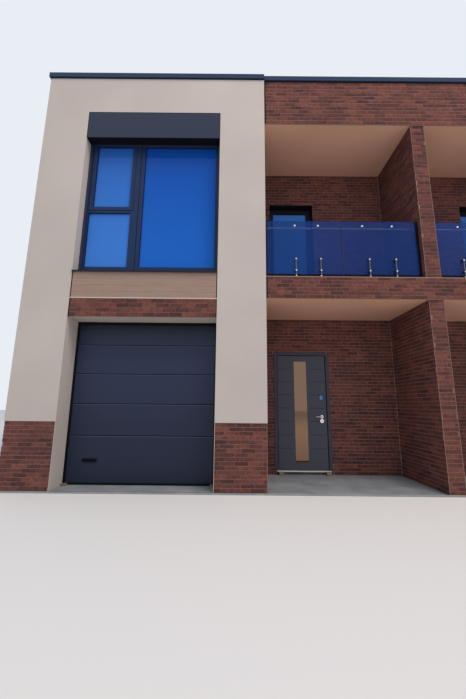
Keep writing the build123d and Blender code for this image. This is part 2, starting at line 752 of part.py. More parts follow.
def door_lever():
    """A round-ended flat bar on each side of the leaf, on necks that share one spindle."""
    ends = (LEAF_FRONT - ROSETTE, LEAF_BACK + ROSETTE)
    lever = rod((LEVER_X, ends[0], LEVER_LEVEL), (LEVER_X, ends[1], LEVER_LEVEL), SPINDLE_RADIUS)
    for face, out in ((LEAF_FRONT, -1), (LEAF_BACK, 1)):
        root = (LEVER_X, face + out * SPINDLE_CLEARANCE, LEVER_LEVEL)
        bar_face = (LEVER_X, face + out * LEVER_REACH, LEVER_LEVEL)
        middle = (LEVER_X - LEVER_LENGTH / 2, FRONT + bar_face[1], LEVER_LEVEL)
        bar = Plane(middle, x_dir=(1, 0, 0), z_dir=(0, out, 0)) * SlotCenterToCenter(LEVER_LENGTH, LEVER_BAR)
        lever = lever + rod(root, bar_face, LEVER_NECK_RADIUS) + extrude(bar, LEVER_THICK)
    return lever


# Balustrade

def balustrade_glass():
    depth = (GLASS_PLANE, GLASS_PLANE + GLASS_SHEET)
    seam = (PORCH_LEFT + PARTY_FACE) / 2
    spans = [(PORCH_LEFT, seam - GLASS_SEAM / 2), (seam + GLASS_SEAM / 2, PARTY_FACE)]
    return [block(x, depth, (BALCONY_FLOOR, BALCONY_FLOOR + GLASS_HEIGHT)) for x in spans]


def post_lines():
    return [PORCH_LEFT + offset for offset in (FIRST_POST, SECOND_POST, THIRD_POST, LAST_POST)]


def pin_lines():
    return [PORCH_LEFT + offset for offset in (FIRST_POST, SECOND_PIN, THIRD_PIN, LAST_POST)]


def balustrade_post(x):
    """A short square post on a foot plate, with two clamps that reach back to the glass."""
    back = GLASS_PLANE - POST_TO_GLASS
    middle = back - POST_THICK / 2
    top = BALCONY_FLOOR + POST_HEIGHT
    post = block((x - POST_WIDTH / 2, x + POST_WIDTH / 2), (back - POST_THICK, back), (BALCONY_FLOOR, top))
    foot = POST_FOOT_WIDTH / 2
    foot_z = (BALCONY_FLOOR, BALCONY_FLOOR + POST_FOOT)
    post = post + block((x - foot, x + foot), (middle - foot, middle + foot), foot_z)
    half = CLAMP / 2
    for height in (LOWER_CLAMP, UPPER_CLAMP):
        z = (BALCONY_FLOOR + height - half, BALCONY_FLOOR + height + half)
        post = post + block((x - half, x + half), (back - POST_THICK - half / 2, GLASS_PLANE), z)
    return post


def handrail():
    """A round rail behind the glass, flanged to the walls and held on square pins."""
    depth = GLASS_PLANE + GLASS_SHEET + RAIL_BEHIND_GLASS
    left, right = (PORCH_LEFT, depth, RAIL_LEVEL), (PARTY_FACE, depth, RAIL_LEVEL)
    rail = rod(left, right, RAIL_RADIUS)
    rail = rail + rod(left, (PORCH_LEFT + RAIL_FLANGE, depth, RAIL_LEVEL), RAIL_FLANGE_RADIUS)
    rail = rail + rod((PARTY_FACE - RAIL_FLANGE, depth, RAIL_LEVEL), right, RAIL_FLANGE_RADIUS)
    half = RAIL_PIN / 2
    for x in pin_lines():
        pin_depth = (GLASS_PLANE + GLASS_SHEET, depth)
        rail = rail + block((x - half, x + half), pin_depth, (RAIL_LEVEL - half, RAIL_LEVEL + half))
    return rail


def glass_buttons():
    """The outer discs of the handrail's point fixings, on the street face of the glass."""
    front = GLASS_PLANE - RAIL_BUTTON
    return [
        rod((x, front, RAIL_LEVEL), (x, GLASS_PLANE, RAIL_LEVEL), RAIL_BUTTON_RADIUS) for x in pin_lines()
    ]


os.makedirs("parts", exist_ok=True)

write("ground_slabs", both([ground_slab()]))
write("floor_slabs", both([floor_slab()]))
write("balcony_slab", [balcony_slab()])
write("recess_ceilings", [recess_ceiling(PORCH_CEILING), recess_ceiling(LOGGIA_CEILING)])
write("roof_slab", [roof_slab()])
write("portal_piers", both(portal_piers()))
write("portal_lintels", both([garage_lintel(), window_lintel()]))
write("side_walls", both([side_wall()]))
write("rear_wall_piers", rear_wall_piers())
write("rear_wall_infills", rear_wall_infills())
write("party_wall", [party_wall()])
write("party_fin", party_fin())
write("recess_side_walls", both(recess_side_walls()))
write("back_walls_beside_doors", both(back_walls_beside_doors()))
write("back_walls_over_doors", both(back_walls_over_doors()))
write("spandrel_beam", [spandrel_beam()])
write("recess_brick_bands", recess_brick_bands())
write("garage_brick_bands", both([portal_facing((GARAGE_HEAD, BAND_TOP))]))
write("board_panels", both([portal_facing((BAND_TOP, SILL_TOP - SILL_PLATE))]))
write("brick_plinth", brick_plinth())
write("coping", coping())
write("shutter_boxes", both([shutter_box()] + shutter_guides()))
write("window_sills", both([front_sill()]) + [rear_sill(x, z) for x, z in rear_windows()])
write("window_frames", both([window_frame()]))
write("balcony_door_frames", both([balcony_door_frame()]))
write("rear_window_frames", [rear_window_frame(x, z) for x, z in rear_windows()])
write("window_glass", glass_units())
write("garage_door_sections", both(garage_door_sections()))
write("garage_door_pulls", both([garage_door_pull()]))
write("garage_door_seals", both([garage_door_seal()]))
write("packing_blocks", both(packing_blocks()))
write("front_door_frames", both([door_frame()]))
write("door_thresholds", both([door_threshold()]))
write("balustrade_glass", both(balustrade_glass()))
write("balustrade_posts", both([balustrade_post(x) for x in post_lines()]))
write("glass_buttons", both(glass_buttons()))
write("handrails", both([handrail()]))

for side, turn in (("left", lambda shape: shape), ("right", lambda shape: mirror(shape, about=Plane.YZ))):
    write(f"{side}_door_leaf", [turn(door_leaf())])
    write(f"{side}_door_glazing", [turn(door_glazing())])
    write(f"{side}_door_furniture", [turn(shape) for shape in door_furniture()])
    write(f"{side}_door_lever", [turn(door_lever())])
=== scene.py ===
import math

import bmesh
import bpy
import numpy as np
from mathutils import Matrix, Vector


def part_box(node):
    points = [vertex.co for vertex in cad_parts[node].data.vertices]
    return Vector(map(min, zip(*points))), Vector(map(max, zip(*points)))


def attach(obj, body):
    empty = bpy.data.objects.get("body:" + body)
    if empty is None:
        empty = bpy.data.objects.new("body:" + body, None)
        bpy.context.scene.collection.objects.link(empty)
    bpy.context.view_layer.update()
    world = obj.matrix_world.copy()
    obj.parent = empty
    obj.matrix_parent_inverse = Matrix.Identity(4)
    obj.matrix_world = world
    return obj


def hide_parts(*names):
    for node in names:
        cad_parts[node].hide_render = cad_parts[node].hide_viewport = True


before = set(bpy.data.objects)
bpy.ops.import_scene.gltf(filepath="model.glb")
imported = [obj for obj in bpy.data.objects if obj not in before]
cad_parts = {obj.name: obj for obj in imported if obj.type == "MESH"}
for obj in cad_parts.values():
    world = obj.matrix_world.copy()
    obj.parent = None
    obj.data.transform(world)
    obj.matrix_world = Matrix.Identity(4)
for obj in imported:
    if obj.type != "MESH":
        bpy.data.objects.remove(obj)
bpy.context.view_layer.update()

MM = 0.001

# Camera of the street view: where it stands, how it is turned, and its focal length in pixels of the frame
PHOTO_HEIGHT = 699
CAMERA_PLACE = (-3.069, -8.882, 1.190)
CAMERA_YAW = math.radians(-0.04)
CAMERA_PITCH = math.radians(10.235)
CAMERA_ROLL = math.radians(0.54)
FOCAL_PIXELS = 306.4
SENSOR_MM = 36.0

# The key lamp: where it hangs, what it points at, its width in metres and its watts; and the floor's disc
KEY_PLACE = (4.0, -12.0, 20.0)
KEY_TARGET = (-1.5, -4.5, 3.0)
KEY_WIDTH = 9.0
KEY_WATTS = 2500
FLOOR_RADIUS = 60.0
FLOOR_SIDES = 96

# How far a strip laps over or stands before its neighbour, so that they share no plane; also a tolerance
LAP = 1 * MM
# Points nearer than this to a plane lie in it
SAME = 0.5 * MM

# Clinker slips: a course with its joint, a brick with its joint, and how the slips are set in the mortar
COURSE = 60 * MM
UPPER_COURSE = 62 * MM
PLINTH_COURSE = 57.5 * MM
TALL_COURSE = 71.8 * MM
BRICK_PITCH = 198 * MM
COURSE_SHIFTS = [0.32, 0.42, 0.5, 0.6]
JOINT = 9 * MM
WIDE_JOINT = 14 * MM
PERPEND = 6 * MM
SLIP_PROUD = 5 * MM
SLIP_DEPTH = 8 * MM
ARRIS = 1.5 * MM
LEAST_CUT = 22 * MM
FACE_WANDER = 1.4 * MM
CORNER_WANDER = 0.56 * MM
ARRIS_WANDER = 1.2 * MM
BEAD = 5 * MM
DRIP_BEAD = 20 * MM

# A place between the piers of each portal, measured across from the middle of the house
PORTAL_X = 4.0
# How far a door frame may pass the end of its wall, and how far its opening in the bricks runs on below it
DOOR_SLACK = 100 * MM
DOOR_FOOT = 200 * MM

# Timber-look boards, glazing gaskets, black strips of painted shade, and the joints of the caps with their
# plan places in metres
BOARD_COUNT = 4
BOARD_GAP = 1 * MM
BOARD_BACKING = 8 * MM
GASKET = 6 * MM
GASKET_PROUD = 3 * MM
CAP_JOINT = 60 * MM
CAP_JOINT_PROUD = 1.5 * MM
CAP_OVERHANG = 50 * MM
CAP_JOINTS_X = (-3.0, 0.0, 3.0)
CAP_JOINTS_Y = (-2.2, 0.0, 2.2)
BOARD_BEAD = 14 * MM
BOARD_BEAD_PROUD = 2 * MM
BOARD_BEAD_DEPTH = 4 * MM
SHADOW_GAP = 14 * MM
RECESS_GAP = 26 * MM
GAP_DEPTH = 6 * MM
COPING_SHADOW = 12 * MM
SHADOW_STRIP = 3 * MM

# Linings, seals and nosings of folded or extruded strip; the shutter strips paint shade, and the garage seals
# partly do
LINING = 3 * MM
LINING_REACH = 8 * MM
LEAST_BOX = 1.0
SLOT_FRONT = 8 * MM
SLOT_BACK = 40 * MM
EDGE_SHADE = 9 * MM
NOSING = 14 * MM
JAMB_SEAL_AND_SHADE = 34 * MM
HEAD_SEAL_AND_SHADE = 45 * MM
SEAL_THICK = 12 * MM

# Balustrade: channels at the walls, a black strip of painted shade along the glass's foot, and screw caps,
# each placed by its height above the balcony floor and its depth behind the front edge of a post's foot plate
CHANNEL = 36 * MM
CHANNEL_PROUD = 8 * MM
FOOT_STRIP = 80 * MM
FOOT_STRIP_PROUD = 2 * MM
BAND_NOSING = 12 * MM
BAND_NOSING_PROUD = 2 * MM
BAND_NOSING_DEPTH = 16 * MM
DISC_SIDES = 20
DISC_CROWN = 0.6
CAP_RADIUS = 12 * MM
CAP_THICK = 4 * MM
CAP_PLACES = [(125 * MM, 9 * MM), (317 * MM, 9 * MM), (40 * MM, 17 * MM)]

# Garage doors: at each joint a black lip over a painted highlight on the lower section's edge; and the dark
# floors of the pulls
JOINT_LIP = 10 * MM
LIT_EDGE = 8 * MM
LIP_ABOVE = 2 * MM
LIP_PROUD = 0.6 * MM
LIP_DEPTH = 5 * MM
PULL_END = 16 * MM
PULL_RIM = 8 * MM
PULL_PAD = 4 * MM

# The front doors: dark strips of painted shade in and past the grooves, the drop-shaped cover of the upper
# lock, and the packers below
GROOVE_DEPTH = 4 * MM
GROOVE_SHADE = 1.5 * MM
GROOVE_RUN_OUT = 26 * MM
GROOVE_PAINT = 0.4 * MM
LOCK_CORE_RADIUS = 10 * MM
PACKER_PROUD = 80 * MM
PACKER_WIDER = 4 * MM
PACKER_TALLER = 8 * MM
DROP_WIDTH = 66 * MM
DROP_HEIGHT = 104 * MM
DROP_THICK = 12 * MM
DROP_SIDES = 28
DROP_FULLNESS = 1.3
DROP_START = 0.11


# Reading the frame

def corners(mesh):
    """The points of a mesh as rows of x, y and z."""
    points = np.empty(len(mesh.vertices) * 3, np.float32)
    mesh.vertices.foreach_get("co", points)
    return points.reshape(-1, 3)


def solids(node):
    """The lowest and highest corner of each separate solid of a CAD node.

    Triangles that share a corner take the lowest label among their corners, again and again,
    until nothing changes; each label left is one solid.
    """
    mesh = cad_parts[node].data
    points = corners(mesh)
    mesh.calc_loop_triangles()
    triangles = np.empty(len(mesh.loop_triangles) * 3, np.int32)
    mesh.loop_triangles.foreach_get("vertices", triangles)
    corner = np.unique(np.round(points / (0.1 * MM)).astype(int), axis=0, return_inverse=True)[1].ravel()
    rows = corner[triangles.reshape(-1, 3)]
    label = np.arange(corner.max() + 1)
    while True:
        lowest = label[rows].min(axis=1)
        spread = label.copy()
        np.minimum.at(spread, rows, np.repeat(lowest[:, None], 3, axis=1))
        if (spread == label).all():
            break
        label = spread
    found = label[corner]
    return [(points[found == k].min(axis=0), points[found == k].max(axis=0)) for k in np.unique(found)]


def sides_of(node):
    """A node's solids from left to right."""
    return sorted(solids(node), key=lambda box: (box[0][0], box[0][2]))


# Meshes

def show(name, data):
    """A new object of the scene."""
    made = bpy.data.objects.new(name, data)
    bpy.context.scene.collection.objects.link(made)
    return made


def new_shell(name, points, faces, slot, body="root", tone=None):
    """A piece from its points and its faces, which may have different numbers of corners."""
    mesh = bpy.data.meshes.new(name)
    mesh.from_pydata(np.asarray(points, float).tolist(), [], faces)
    if tone is not None:
        mesh.attributes.new("tone", "FLOAT", "POINT").data.foreach_set("value", tone.astype(np.float32))
    mesh.update()
    piece = show(name, mesh)
    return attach(piece, body)


BLOCK_FACES = np.array([(0, 3, 2, 1), (4, 5, 6, 7), (0, 1, 5, 4), (1, 2, 6, 5), (2, 3, 7, 6), (3, 0, 4, 7)])


def blocks(name, boxes, bevel=0.0, **kind):
    """Closed blocks, each from its lowest to its highest corner, with an eased arris."""
    low = np.array([box[0] for box in boxes], float)
    high = np.array([box[1] for box in boxes], float)
    pick = np.array([(0, 0, 0), (1, 0, 0), (1, 1, 0), (0, 1, 0), (0, 0, 1), (1, 0, 1), (1, 1, 1), (0, 1, 1)])
    points = low[:, None, :] + (high - low)[:, None, :] * pick[None]
    faces = BLOCK_FACES[None] + 8 * np.arange(len(boxes))[:, None, None]
    piece = new_shell(name, points.reshape(-1, 3), faces.reshape(-1, 4).tolist(), **kind)
    if bevel:
        ease = piece.modifiers.new("eased arris", "BEVEL")
        ease.width = bevel
        ease.segments = 2
        ease.limit_method = "ANGLE"
    return piece


def sunk_copy(node, name, faces):
    """A copy of a CAD node whose named flat faces lie deeper: each is an axis, a place and a shift."""
    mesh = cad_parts[node].data.copy()
    mesh.name = name
    shape = bmesh.new()
    shape.from_mesh(mesh)
    bmesh.ops.remove_doubles(shape, verts=shape.verts, dist=0.01 * MM)
    shape.to_mesh(mesh)
    shape.free()
    points = corners(mesh)
    moved = points.copy()
    for axis, place, shift in faces:
        moved[np.abs(points[:, axis] - place) < SAME, axis] += shift
    mesh.vertices.foreach_set("co", moved.ravel())
    mesh.update()
    piece = show(name, mesh)
    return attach(piece, "root")


# Brickwork

def course_stretches(span, foot, head, holes):
    """The parts of one course that openings leave, each as left, right, foot and head."""
    parts = []
    at = span[0]
    for left, right, low, high in sorted(holes):
        if foot >= high or head <= low:
            continue
        parts.append((at, left, foot, head))
        if head > high:
            parts.append((left, right, high, head))
        at = right
    parts.append((at, span[1], foot, head))
    return parts


def wall_bricks(start, heading, length, foot, head, rng, holes=(), course=COURSE, joint=JOINT):
    """Every brick of one flat wall face in a wild stretcher bond.

    The face runs from a plan point along a heading, with its outer side on the right. Each course is
    shifted by about half a brick, and a brick is cut where the face or an opening ends.
    Returns, for each brick, its left, right, foot and head, with the face's start and heading.
    """
    count = max(1, round((head - foot) / course))
    rise = (head - foot) / count
    rows = []
    shift = 0.0
    for k in range(count):
        shift += BRICK_PITCH * rng.choice(COURSE_SHIFTS)
        low = foot + k * rise + joint / 2
        high = low + rise - joint
        starts = np.arange(-1, int(length / BRICK_PITCH) + 2) * BRICK_PITCH + shift % BRICK_PITCH
        for a, b, z0, z1 in course_stretches((0.0, length), low, high, holes):
            left = np.maximum(starts, a)
            right = np.minimum(starts + BRICK_PITCH - PERPEND, b)
            keep = (right - left > LEAST_CUT) & (z1 - z0 > LEAST_CUT / 2)
            for u0, u1 in zip(left[keep], right[keep]):
                rows.append((u0, u1, z0, z1, *start, *heading))
    return rows


BRICK_FACES = np.array([
    (0, 1, 2, 3), (4, 5, 1, 0), (5, 6, 2, 1), (6, 7, 3, 2), (7, 4, 0, 3),
    (8, 9, 5, 4), (9, 10, 6, 5), (10, 11, 7, 6), (11, 8, 4, 7), (8, 11, 10, 9),
])


def lay(name, rows, seed):
    """One mesh of slips from the rows of wall_bricks.

    A slip has three rings of four corners: its face inside the arris, its edge one arris deeper, and
    its back in the mortar. Faces stand a little deeper or shallower, and arrises wander a little.
    """
    rng = np.random.default_rng(seed)
    rows = np.array(rows)
    u0, u1, z0, z1, x, y, hx, hy = rows.T[:, :, None]
    n = len(rows)
    inset = ARRIS * np.array([1, 1, 1, 1, 0, 0, 0, 0, 0, 0, 0, 0])
    depth = np.array([0, 0, 0, 0, ARRIS, ARRIS, ARRIS, ARRIS] + [SLIP_DEPTH] * 4)
    along = np.where(np.isin(np.arange(12) % 4, (0, 3)), u0 + inset, u1 - inset)
    up = np.where(np.arange(12) % 4 < 2, z0 + inset, z1 - inset)
    front = np.arange(12) < 8
    deeper = depth + front * (rng.random((n, 1)) * FACE_WANDER + rng.random((n, 12)) * CORNER_WANDER)
    along = along + (rng.random((n, 12)) - 0.5) * ARRIS_WANDER * (np.arange(12) < 4)
    up = up + (rng.random((n, 12)) - 0.5) * ARRIS_WANDER * (np.arange(12) < 4)
    points = np.stack([x + hx * along - hy * deeper, y + hy * along + hx * deeper, up], axis=-1)
    faces = BRICK_FACES[None] + 12 * np.arange(n)[:, None, None]
    tone = np.repeat(rng.random(n), 12)
    return new_shell(name, points.reshape(-1, 3), faces.reshape(-1, 4).tolist(), slot="brick", tone=tone)


# Places that the brickwork shares, all read from the frame
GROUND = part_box("ground_slabs")[1].z
PORCH_FLOOR = min(low[2] for low, high in solids("packing_blocks"))
FIN_LOW, FIN_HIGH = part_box("party_fin")
PORCH_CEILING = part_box("recess_ceilings")[0].z
BALCONY_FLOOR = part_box("balcony_slab")[1].z
LOGGIA_CEILING = FIN_HIGH.z
RECESS_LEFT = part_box("balcony_slab")[0].x
BACK_WALL = FIN_HIGH.y
BAND_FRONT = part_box("recess_brick_bands")[0].y
BAND_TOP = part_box("recess_brick_bands")[1].z
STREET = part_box("portal_piers")[0].y
WALL_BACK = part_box("portal_piers")[1].y
STOREYS = [(PORCH_FLOOR, PORCH_CEILING, COURSE), (BALCONY_FLOOR, LOGGIA_CEILING, UPPER_COURSE)]
FIN_STOREYS = [(0.0, PORCH_CEILING, COURSE), STOREYS[1]]


def fin_bricks(rng):
    """The fin's street face between its two beads, then its two sides, a storey at a time."""
    rows = []
    depth = BACK_WALL - FIN_LOW.y - BEAD
    width = FIN_HIGH.x - FIN_LOW.x - 2 * BEAD
    faces = [((FIN_LOW.x + BEAD, FIN_LOW.y), (1, 0), width),
             ((FIN_LOW.x, BACK_WALL), (0, -1), depth),
             ((FIN_HIGH.x, FIN_LOW.y + BEAD), (0, 1), depth)]
    for foot, head, course in FIN_STOREYS:
        for face in faces:
            rows += wall_bricks(*face, foot, head, rng, course=course)
    return rows


def door_holes(node, origin, width):
    """Where the doors of one storey stand, measured along a back wall from its left end."""
    holes = []
    for low, high in solids(node):
        left, right = low[0] - origin, high[0] - origin
        if left > -DOOR_SLACK and right < width + DOOR_SLACK:
            holes.append((left, right, low[2] - DOOR_FOOT, high[2]))
    return holes


def back_wall_bricks(rng):
    """The back wall of each porch and balcony, round its door."""
    rows = []
    width = FIN_LOW.x - RECESS_LEFT
    for (foot, head, course), node in zip(STOREYS, ("front_door_frames", "balcony_door_frames")):
        for origin in (RECESS_LEFT, FIN_HIGH.x):
            holes = door_holes(node, origin, width)
            rows += wall_bricks((origin, BACK_WALL), (1, 0), width, foot, head, rng, holes, course)
    return rows


def recess_side_bricks(rng):
    """The outer side walls of the recess, behind the portals."""
    rows = []
    depth = BACK_WALL - WALL_BACK
    for foot, head, course in STOREYS:
        rows += wall_bricks((RECESS_LEFT, WALL_BACK), (0, 1), depth, foot, head, rng, course=course)
        rows += wall_bricks((-RECESS_LEFT, BACK_WALL), (0, -1), depth, foot, head, rng, course=course)
    return rows


def band_bricks(rng):
    """The band under the balconies, and the taller courses of the band over them."""
    rows = []
    width = -2 * RECESS_LEFT
    bands = [(PORCH_CEILING, BALCONY_FLOOR, COURSE, JOINT),
             (LOGGIA_CEILING, BAND_TOP, TALL_COURSE, WIDE_JOINT)]
    for foot, head, course, joint in bands:
        rows += wall_bricks((RECESS_LEFT, BAND_FRONT), (1, 0), width, foot, head, rng, (), course, joint)
    return rows


def garage_band_bricks(rng):
    """The band over each garage door."""
    rows = []
    for low, high in solids("garage_brick_bands"):
        width = high[0] - low[0]
        rows += wall_bricks((low[0], low[1]), (1, 0), width, low[2], high[2], rng, course=TALL_COURSE)
    return rows


def plinth_bricks(rng):
    """Slips on the outward face of each plinth panel, which is the long side away from the wall."""
    rows = []
    for low, high in solids("brick_plinth"):
        size = high - low
        if size[0] > size[1]:
            if low[1] < 0:
                face = ((low[0], low[1]), (1, 0), size[0])
            else:
                face = ((high[0], high[1]), (-1, 0), size[0])
        elif (low[0] < 0) == (abs(low[0]) > PORTAL_X):
            face = ((low[0], high[1]), (0, -1), size[1])
        else:
            face = ((high[0], low[1]), (0, 1), size[1])
        rows += wall_bricks(*face, low[2], high[2], rng, course=PLINTH_COURSE)
    return rows


def brickwork():
    """The mortar beds, which stand for the CAD walls, and the slips set in them."""
    inner = max(high[0] for low, high in solids("brick_plinth") if high[0] < 0)
    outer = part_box("brick_plinth")[0]
    beds = {
        "party_fin": [(0, FIN_LOW.x, SLIP_PROUD), (0, FIN_HIGH.x, -SLIP_PROUD), (1, FIN_LOW.y, SLIP_PROUD)],
        "back_walls_beside_doors": [(1, BACK_WALL, SLIP_PROUD)],
        "back_walls_over_doors": [(1, BACK_WALL, SLIP_PROUD)],
        "recess_side_walls": [(0, RECESS_LEFT, -SLIP_PROUD), (0, -RECESS_LEFT, SLIP_PROUD)],
        "recess_brick_bands": [(1, BAND_FRONT, SLIP_PROUD)],
        "garage_brick_bands": [(1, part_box("garage_brick_bands")[0].y, SLIP_PROUD)],
        "brick_plinth": [
            (1, outer.y, SLIP_PROUD), (1, -outer.y, -SLIP_PROUD),
            (0, outer.x, SLIP_PROUD), (0, -outer.x, -SLIP_PROUD),
            (0, inner, -SLIP_PROUD), (0, -inner, SLIP_PROUD),
        ],
    }
    made = []
    for node, faces in beds.items():
        bed = sunk_copy(node, "mortar_" + node, faces)
        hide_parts(node)
        made.append(bed)
    slips = []
    work = [
        ("fin_bricks", fin_bricks), ("back_wall_bricks", back_wall_bricks),
        ("recess_side_bricks", recess_side_bricks), ("band_bricks", band_bricks),
        ("garage_band_bricks", garage_band_bricks), ("plinth_bricks", plinth_bricks),
    ]
    for seed, (name, rows) in enumerate(work, 11):
        slips.append(lay(name, rows(np.random.default_rng(seed)), seed + 100))
    return made, slips


# Trim

def corner_beads():
    """Pale angle beads at the brick corners, and drip beads under the brick bands."""
    bars = []
    for foot, head, _ in FIN_STOREYS:
        for left in (FIN_LOW.x, FIN_HIGH.x - BEAD):
            bars.append(((left, FIN_LOW.y, foot), (left + BEAD, FIN_LOW.y + BEAD, head)))
    for low, high in solids("brick_plinth"):
        if abs(low[0] + high[0]) / 2 < PORTAL_X and high[1] < 0:
            left = high[0] - BEAD if high[0] < 0 else low[0]
            bars.append(((left, low[1] - LAP, low[2]), (left + BEAD, low[1] + BEAD, high[2])))
    back = BAND_FRONT + DRIP_BEAD
    for level in (PORCH_CEILING, LOGGIA_CEILING):
        bars.append(((RECESS_LEFT, BAND_FRONT, level - BEAD / 2), (-RECESS_LEFT, back, level)))
    for low, high in solids("garage_brick_bands"):
        bars.append(((low[0], low[1], low[2] - BEAD / 2), (high[0], high[1], low[2])))
    blocks("corner_beads", bars, bevel=1 * MM, slot="render")


def board_beads():
    """A pale edge bead along the foot of the facade boards."""
    bars = []
    for low, high in solids("board_panels"):
        front, back = low[1] - BOARD_BEAD_PROUD, low[1] + BOARD_BEAD_DEPTH
        bars.append(((low[0], front, low[2] - LAP), (high[0], back, low[2] + BOARD_BEAD)))
    blocks("board_beads", bars, bevel=1 * MM, slot="threshold_metal")


def shadow_gaps():
    """Black strips in the joints where boards and brick bands meet the rendered walls: painted shade of the
    gaps.
    """
    bars = []
    for node in ("board_panels", "garage_brick_bands", "recess_brick_bands"):
        for low, high in solids(node):
            front, back = low[1] - LAP, low[1] + GAP_DEPTH
            gap = RECESS_GAP if node == "recess_brick_bands" else SHADOW_GAP
            for left in (low[0], high[0] - gap):
                bars.append(((left, front, low[2]), (left + gap, back, high[2])))
    blocks("shadow_gap_painted_shade", bars, slot="rubber")


def coping_painted_shadow():
    """Black strips on the walls and on the brick band just under the coping's leg: the leg's painted shadow.
    """
    x0, x1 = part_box("side_walls")[0].x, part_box("side_walls")[1].x
    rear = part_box("rear_wall_piers")[1].y
    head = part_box("coping")[0].z
    foot = head - COPING_SHADOW
    bars = [((x0 - SHADOW_STRIP, STREET - SHADOW_STRIP, foot), (RECESS_LEFT, STREET, head)),
            ((-RECESS_LEFT, STREET - SHADOW_STRIP, foot), (x1 + SHADOW_STRIP, STREET, head)),
            ((RECESS_LEFT, BAND_FRONT - SHADOW_STRIP, foot), (-RECESS_LEFT, BAND_FRONT, head)),
            ((x0 - SHADOW_STRIP, rear, foot), (x1 + SHADOW_STRIP, rear + SHADOW_STRIP, head)),
            ((x0 - SHADOW_STRIP, STREET, foot), (x0, rear, head)),
            ((x1, STREET, foot), (x1 + SHADOW_STRIP, rear, head))]
    blocks("coping_painted_shadow", bars, slot="rubber")


def garage_doorways():
    """The clear width of each garage opening with the outer plane of its door, from the bands above."""
    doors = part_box("garage_door_sections")
    return [((low[0], doors[0].y), (high[0], doors[1].y)) for low, high in solids("garage_brick_bands")]


def garage_seals_and_shade():
    """Black lip seals round each garage opening, on the lintel and both jambs, just before the door.

    Drawn wide, they also paint the shade under the lintel and along the jambs.
    """
    bars = []
    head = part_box("garage_brick_bands")[0].z
    for low, high in garage_doorways():
        back = low[1]
        front = back - SEAL_THICK
        bars.append(((low[0], front, head - HEAD_SEAL_AND_SHADE), (high[0], back, head)))
        for left in (low[0], high[0] - JAMB_SEAL_AND_SHADE):
            bars.append(((left, front, GROUND), (left + JAMB_SEAL_AND_SHADE, back, head - HEAD_SEAL_AND_SHADE)))
    blocks("garage_lip_seals_and_shade", bars, slot="rubber")


def section_joints():
    """A black lip at each joint of the garage doors and, under it, a paler strip on the lower section's edge:
    a painted highlight.
    """
    lips, edges = [], []
    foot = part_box("garage_door_sections")[0].z
    for low, high in solids("garage_door_sections"):
        if low[2] < foot + LAP:
            continue
        joint = low[2] + LIP_ABOVE
        under = joint - JOINT_LIP
        front, back = low[1] - LIP_PROUD, low[1] + LIP_DEPTH
        lips.append(((low[0], front, under), (high[0], back, joint)))
        edges.append(((low[0], front, under - LIT_EDGE), (high[0], back, under)))
    blocks("section_lips", lips, slot="rubber")
    blocks("section_painted_highlights", edges, slot="garage_sheet")


def glass_channels():
    """Black channels for the balustrade's ends at the walls, and a black strip of painted shade along the
    glass's foot.
    """
    channels, strips = [], []
    for k, (low, high) in enumerate(sides_of("balustrade_glass")):
        left, right = (low[0], low[0] + CHANNEL) if k % 2 == 0 else (high[0] - CHANNEL, high[0])
        front, back = low[1] - CHANNEL_PROUD, high[1] + CHANNEL_PROUD
        channels.append(((left, front, low[2]), (right, back, high[2])))
        front, back = low[1] - FOOT_STRIP_PROUD, high[1] + FOOT_STRIP_PROUD
        strips.append(((low[0], front, low[2]), (high[0], back, low[2] + FOOT_STRIP)))
    blocks("glass_channels", channels, slot="rubber")
    blocks("glass_foot_painted_shade", strips, slot="rubber")


def glass_seams():
    """Dark blue sealant between the two sheets of each balcony."""
    panes = sides_of("balustrade_glass")
    bars = []
    for (low, high), (next_low, next_high) in (panes[:2], panes[2:]):
        bars.append(((high[0], low[1] + LAP, low[2]), (next_low[0], next_high[1] - LAP, high[2])))
    blocks("glass_seams", bars, slot="balustrade_glass")


def band_nosing():
    """A pale nosing along the upper edge of the brick band under the balconies."""
    bar = ((RECESS_LEFT, BAND_FRONT - BAND_NOSING_PROUD, BALCONY_FLOOR - BAND_NOSING),
           (-RECESS_LEFT, BAND_FRONT + BAND_NOSING_DEPTH, BALCONY_FLOOR + LAP))
    blocks("band_nosing", [bar], bevel=1 * MM, slot="render")


def ring_faces(count, rings):
    """The faces of rings of equally many points: quads between them, and caps on the first and the last."""
    here = np.arange(count)
    after = (here + 1) % count
    quads = np.stack([here, after, count + after, count + here], axis=-1)
    quads = quads[None] + count * np.arange(rings - 1)[:, None, None]
    return [*quads.reshape(-1, 4), here[::-1], count * (rings - 1) + here]


def discs(name, places, radius, thick, **kind):
    """Round caps that face the street.

    Each has a circle on the surface, and a narrower circle before it that is the cap's flat crown.
    """
    turn = np.linspace(0, 2 * math.pi, DISC_SIDES, endpoint=False)
    rim = np.stack([radius * np.cos(turn), np.zeros(DISC_SIDES), radius * np.sin(turn)], axis=-1)
    disc = np.concatenate([rim, rim * DISC_CROWN - np.array([0, thick, 0])])
    points = np.array(places, float)[:, None, :] + disc[None]
    cap = ring_faces(DISC_SIDES, 2)
    faces = [(face + 2 * DISC_SIDES * k).tolist() for k in range(len(places)) for face in cap]
    return new_shell(name, points.reshape(-1, 3), faces, **kind)


def clamp_caps():
    """Polished caps on the screws of each balustrade post: on its two clamps and above its foot plate."""
    places = [((low[0] + high[0]) / 2, low[1] + depth, BALCONY_FLOOR + height)
              for low, high in solids("balustrade_posts") for height, depth in CAP_PLACES]
    discs("clamp_caps", places, CAP_RADIUS, CAP_THICK, slot="stainless")


def slab_nosings():
    """A pale edging along the street side of the ground slabs, standing level across the lower porch."""
    bars = []
    for low, high in sides_of("ground_slabs"):
        bars.append(((low[0], low[1] - LAP, 0.0), (high[0], low[1] + NOSING, high[2])))
    blocks("slab_nosings", bars, bevel=2 * MM, slot="concrete")


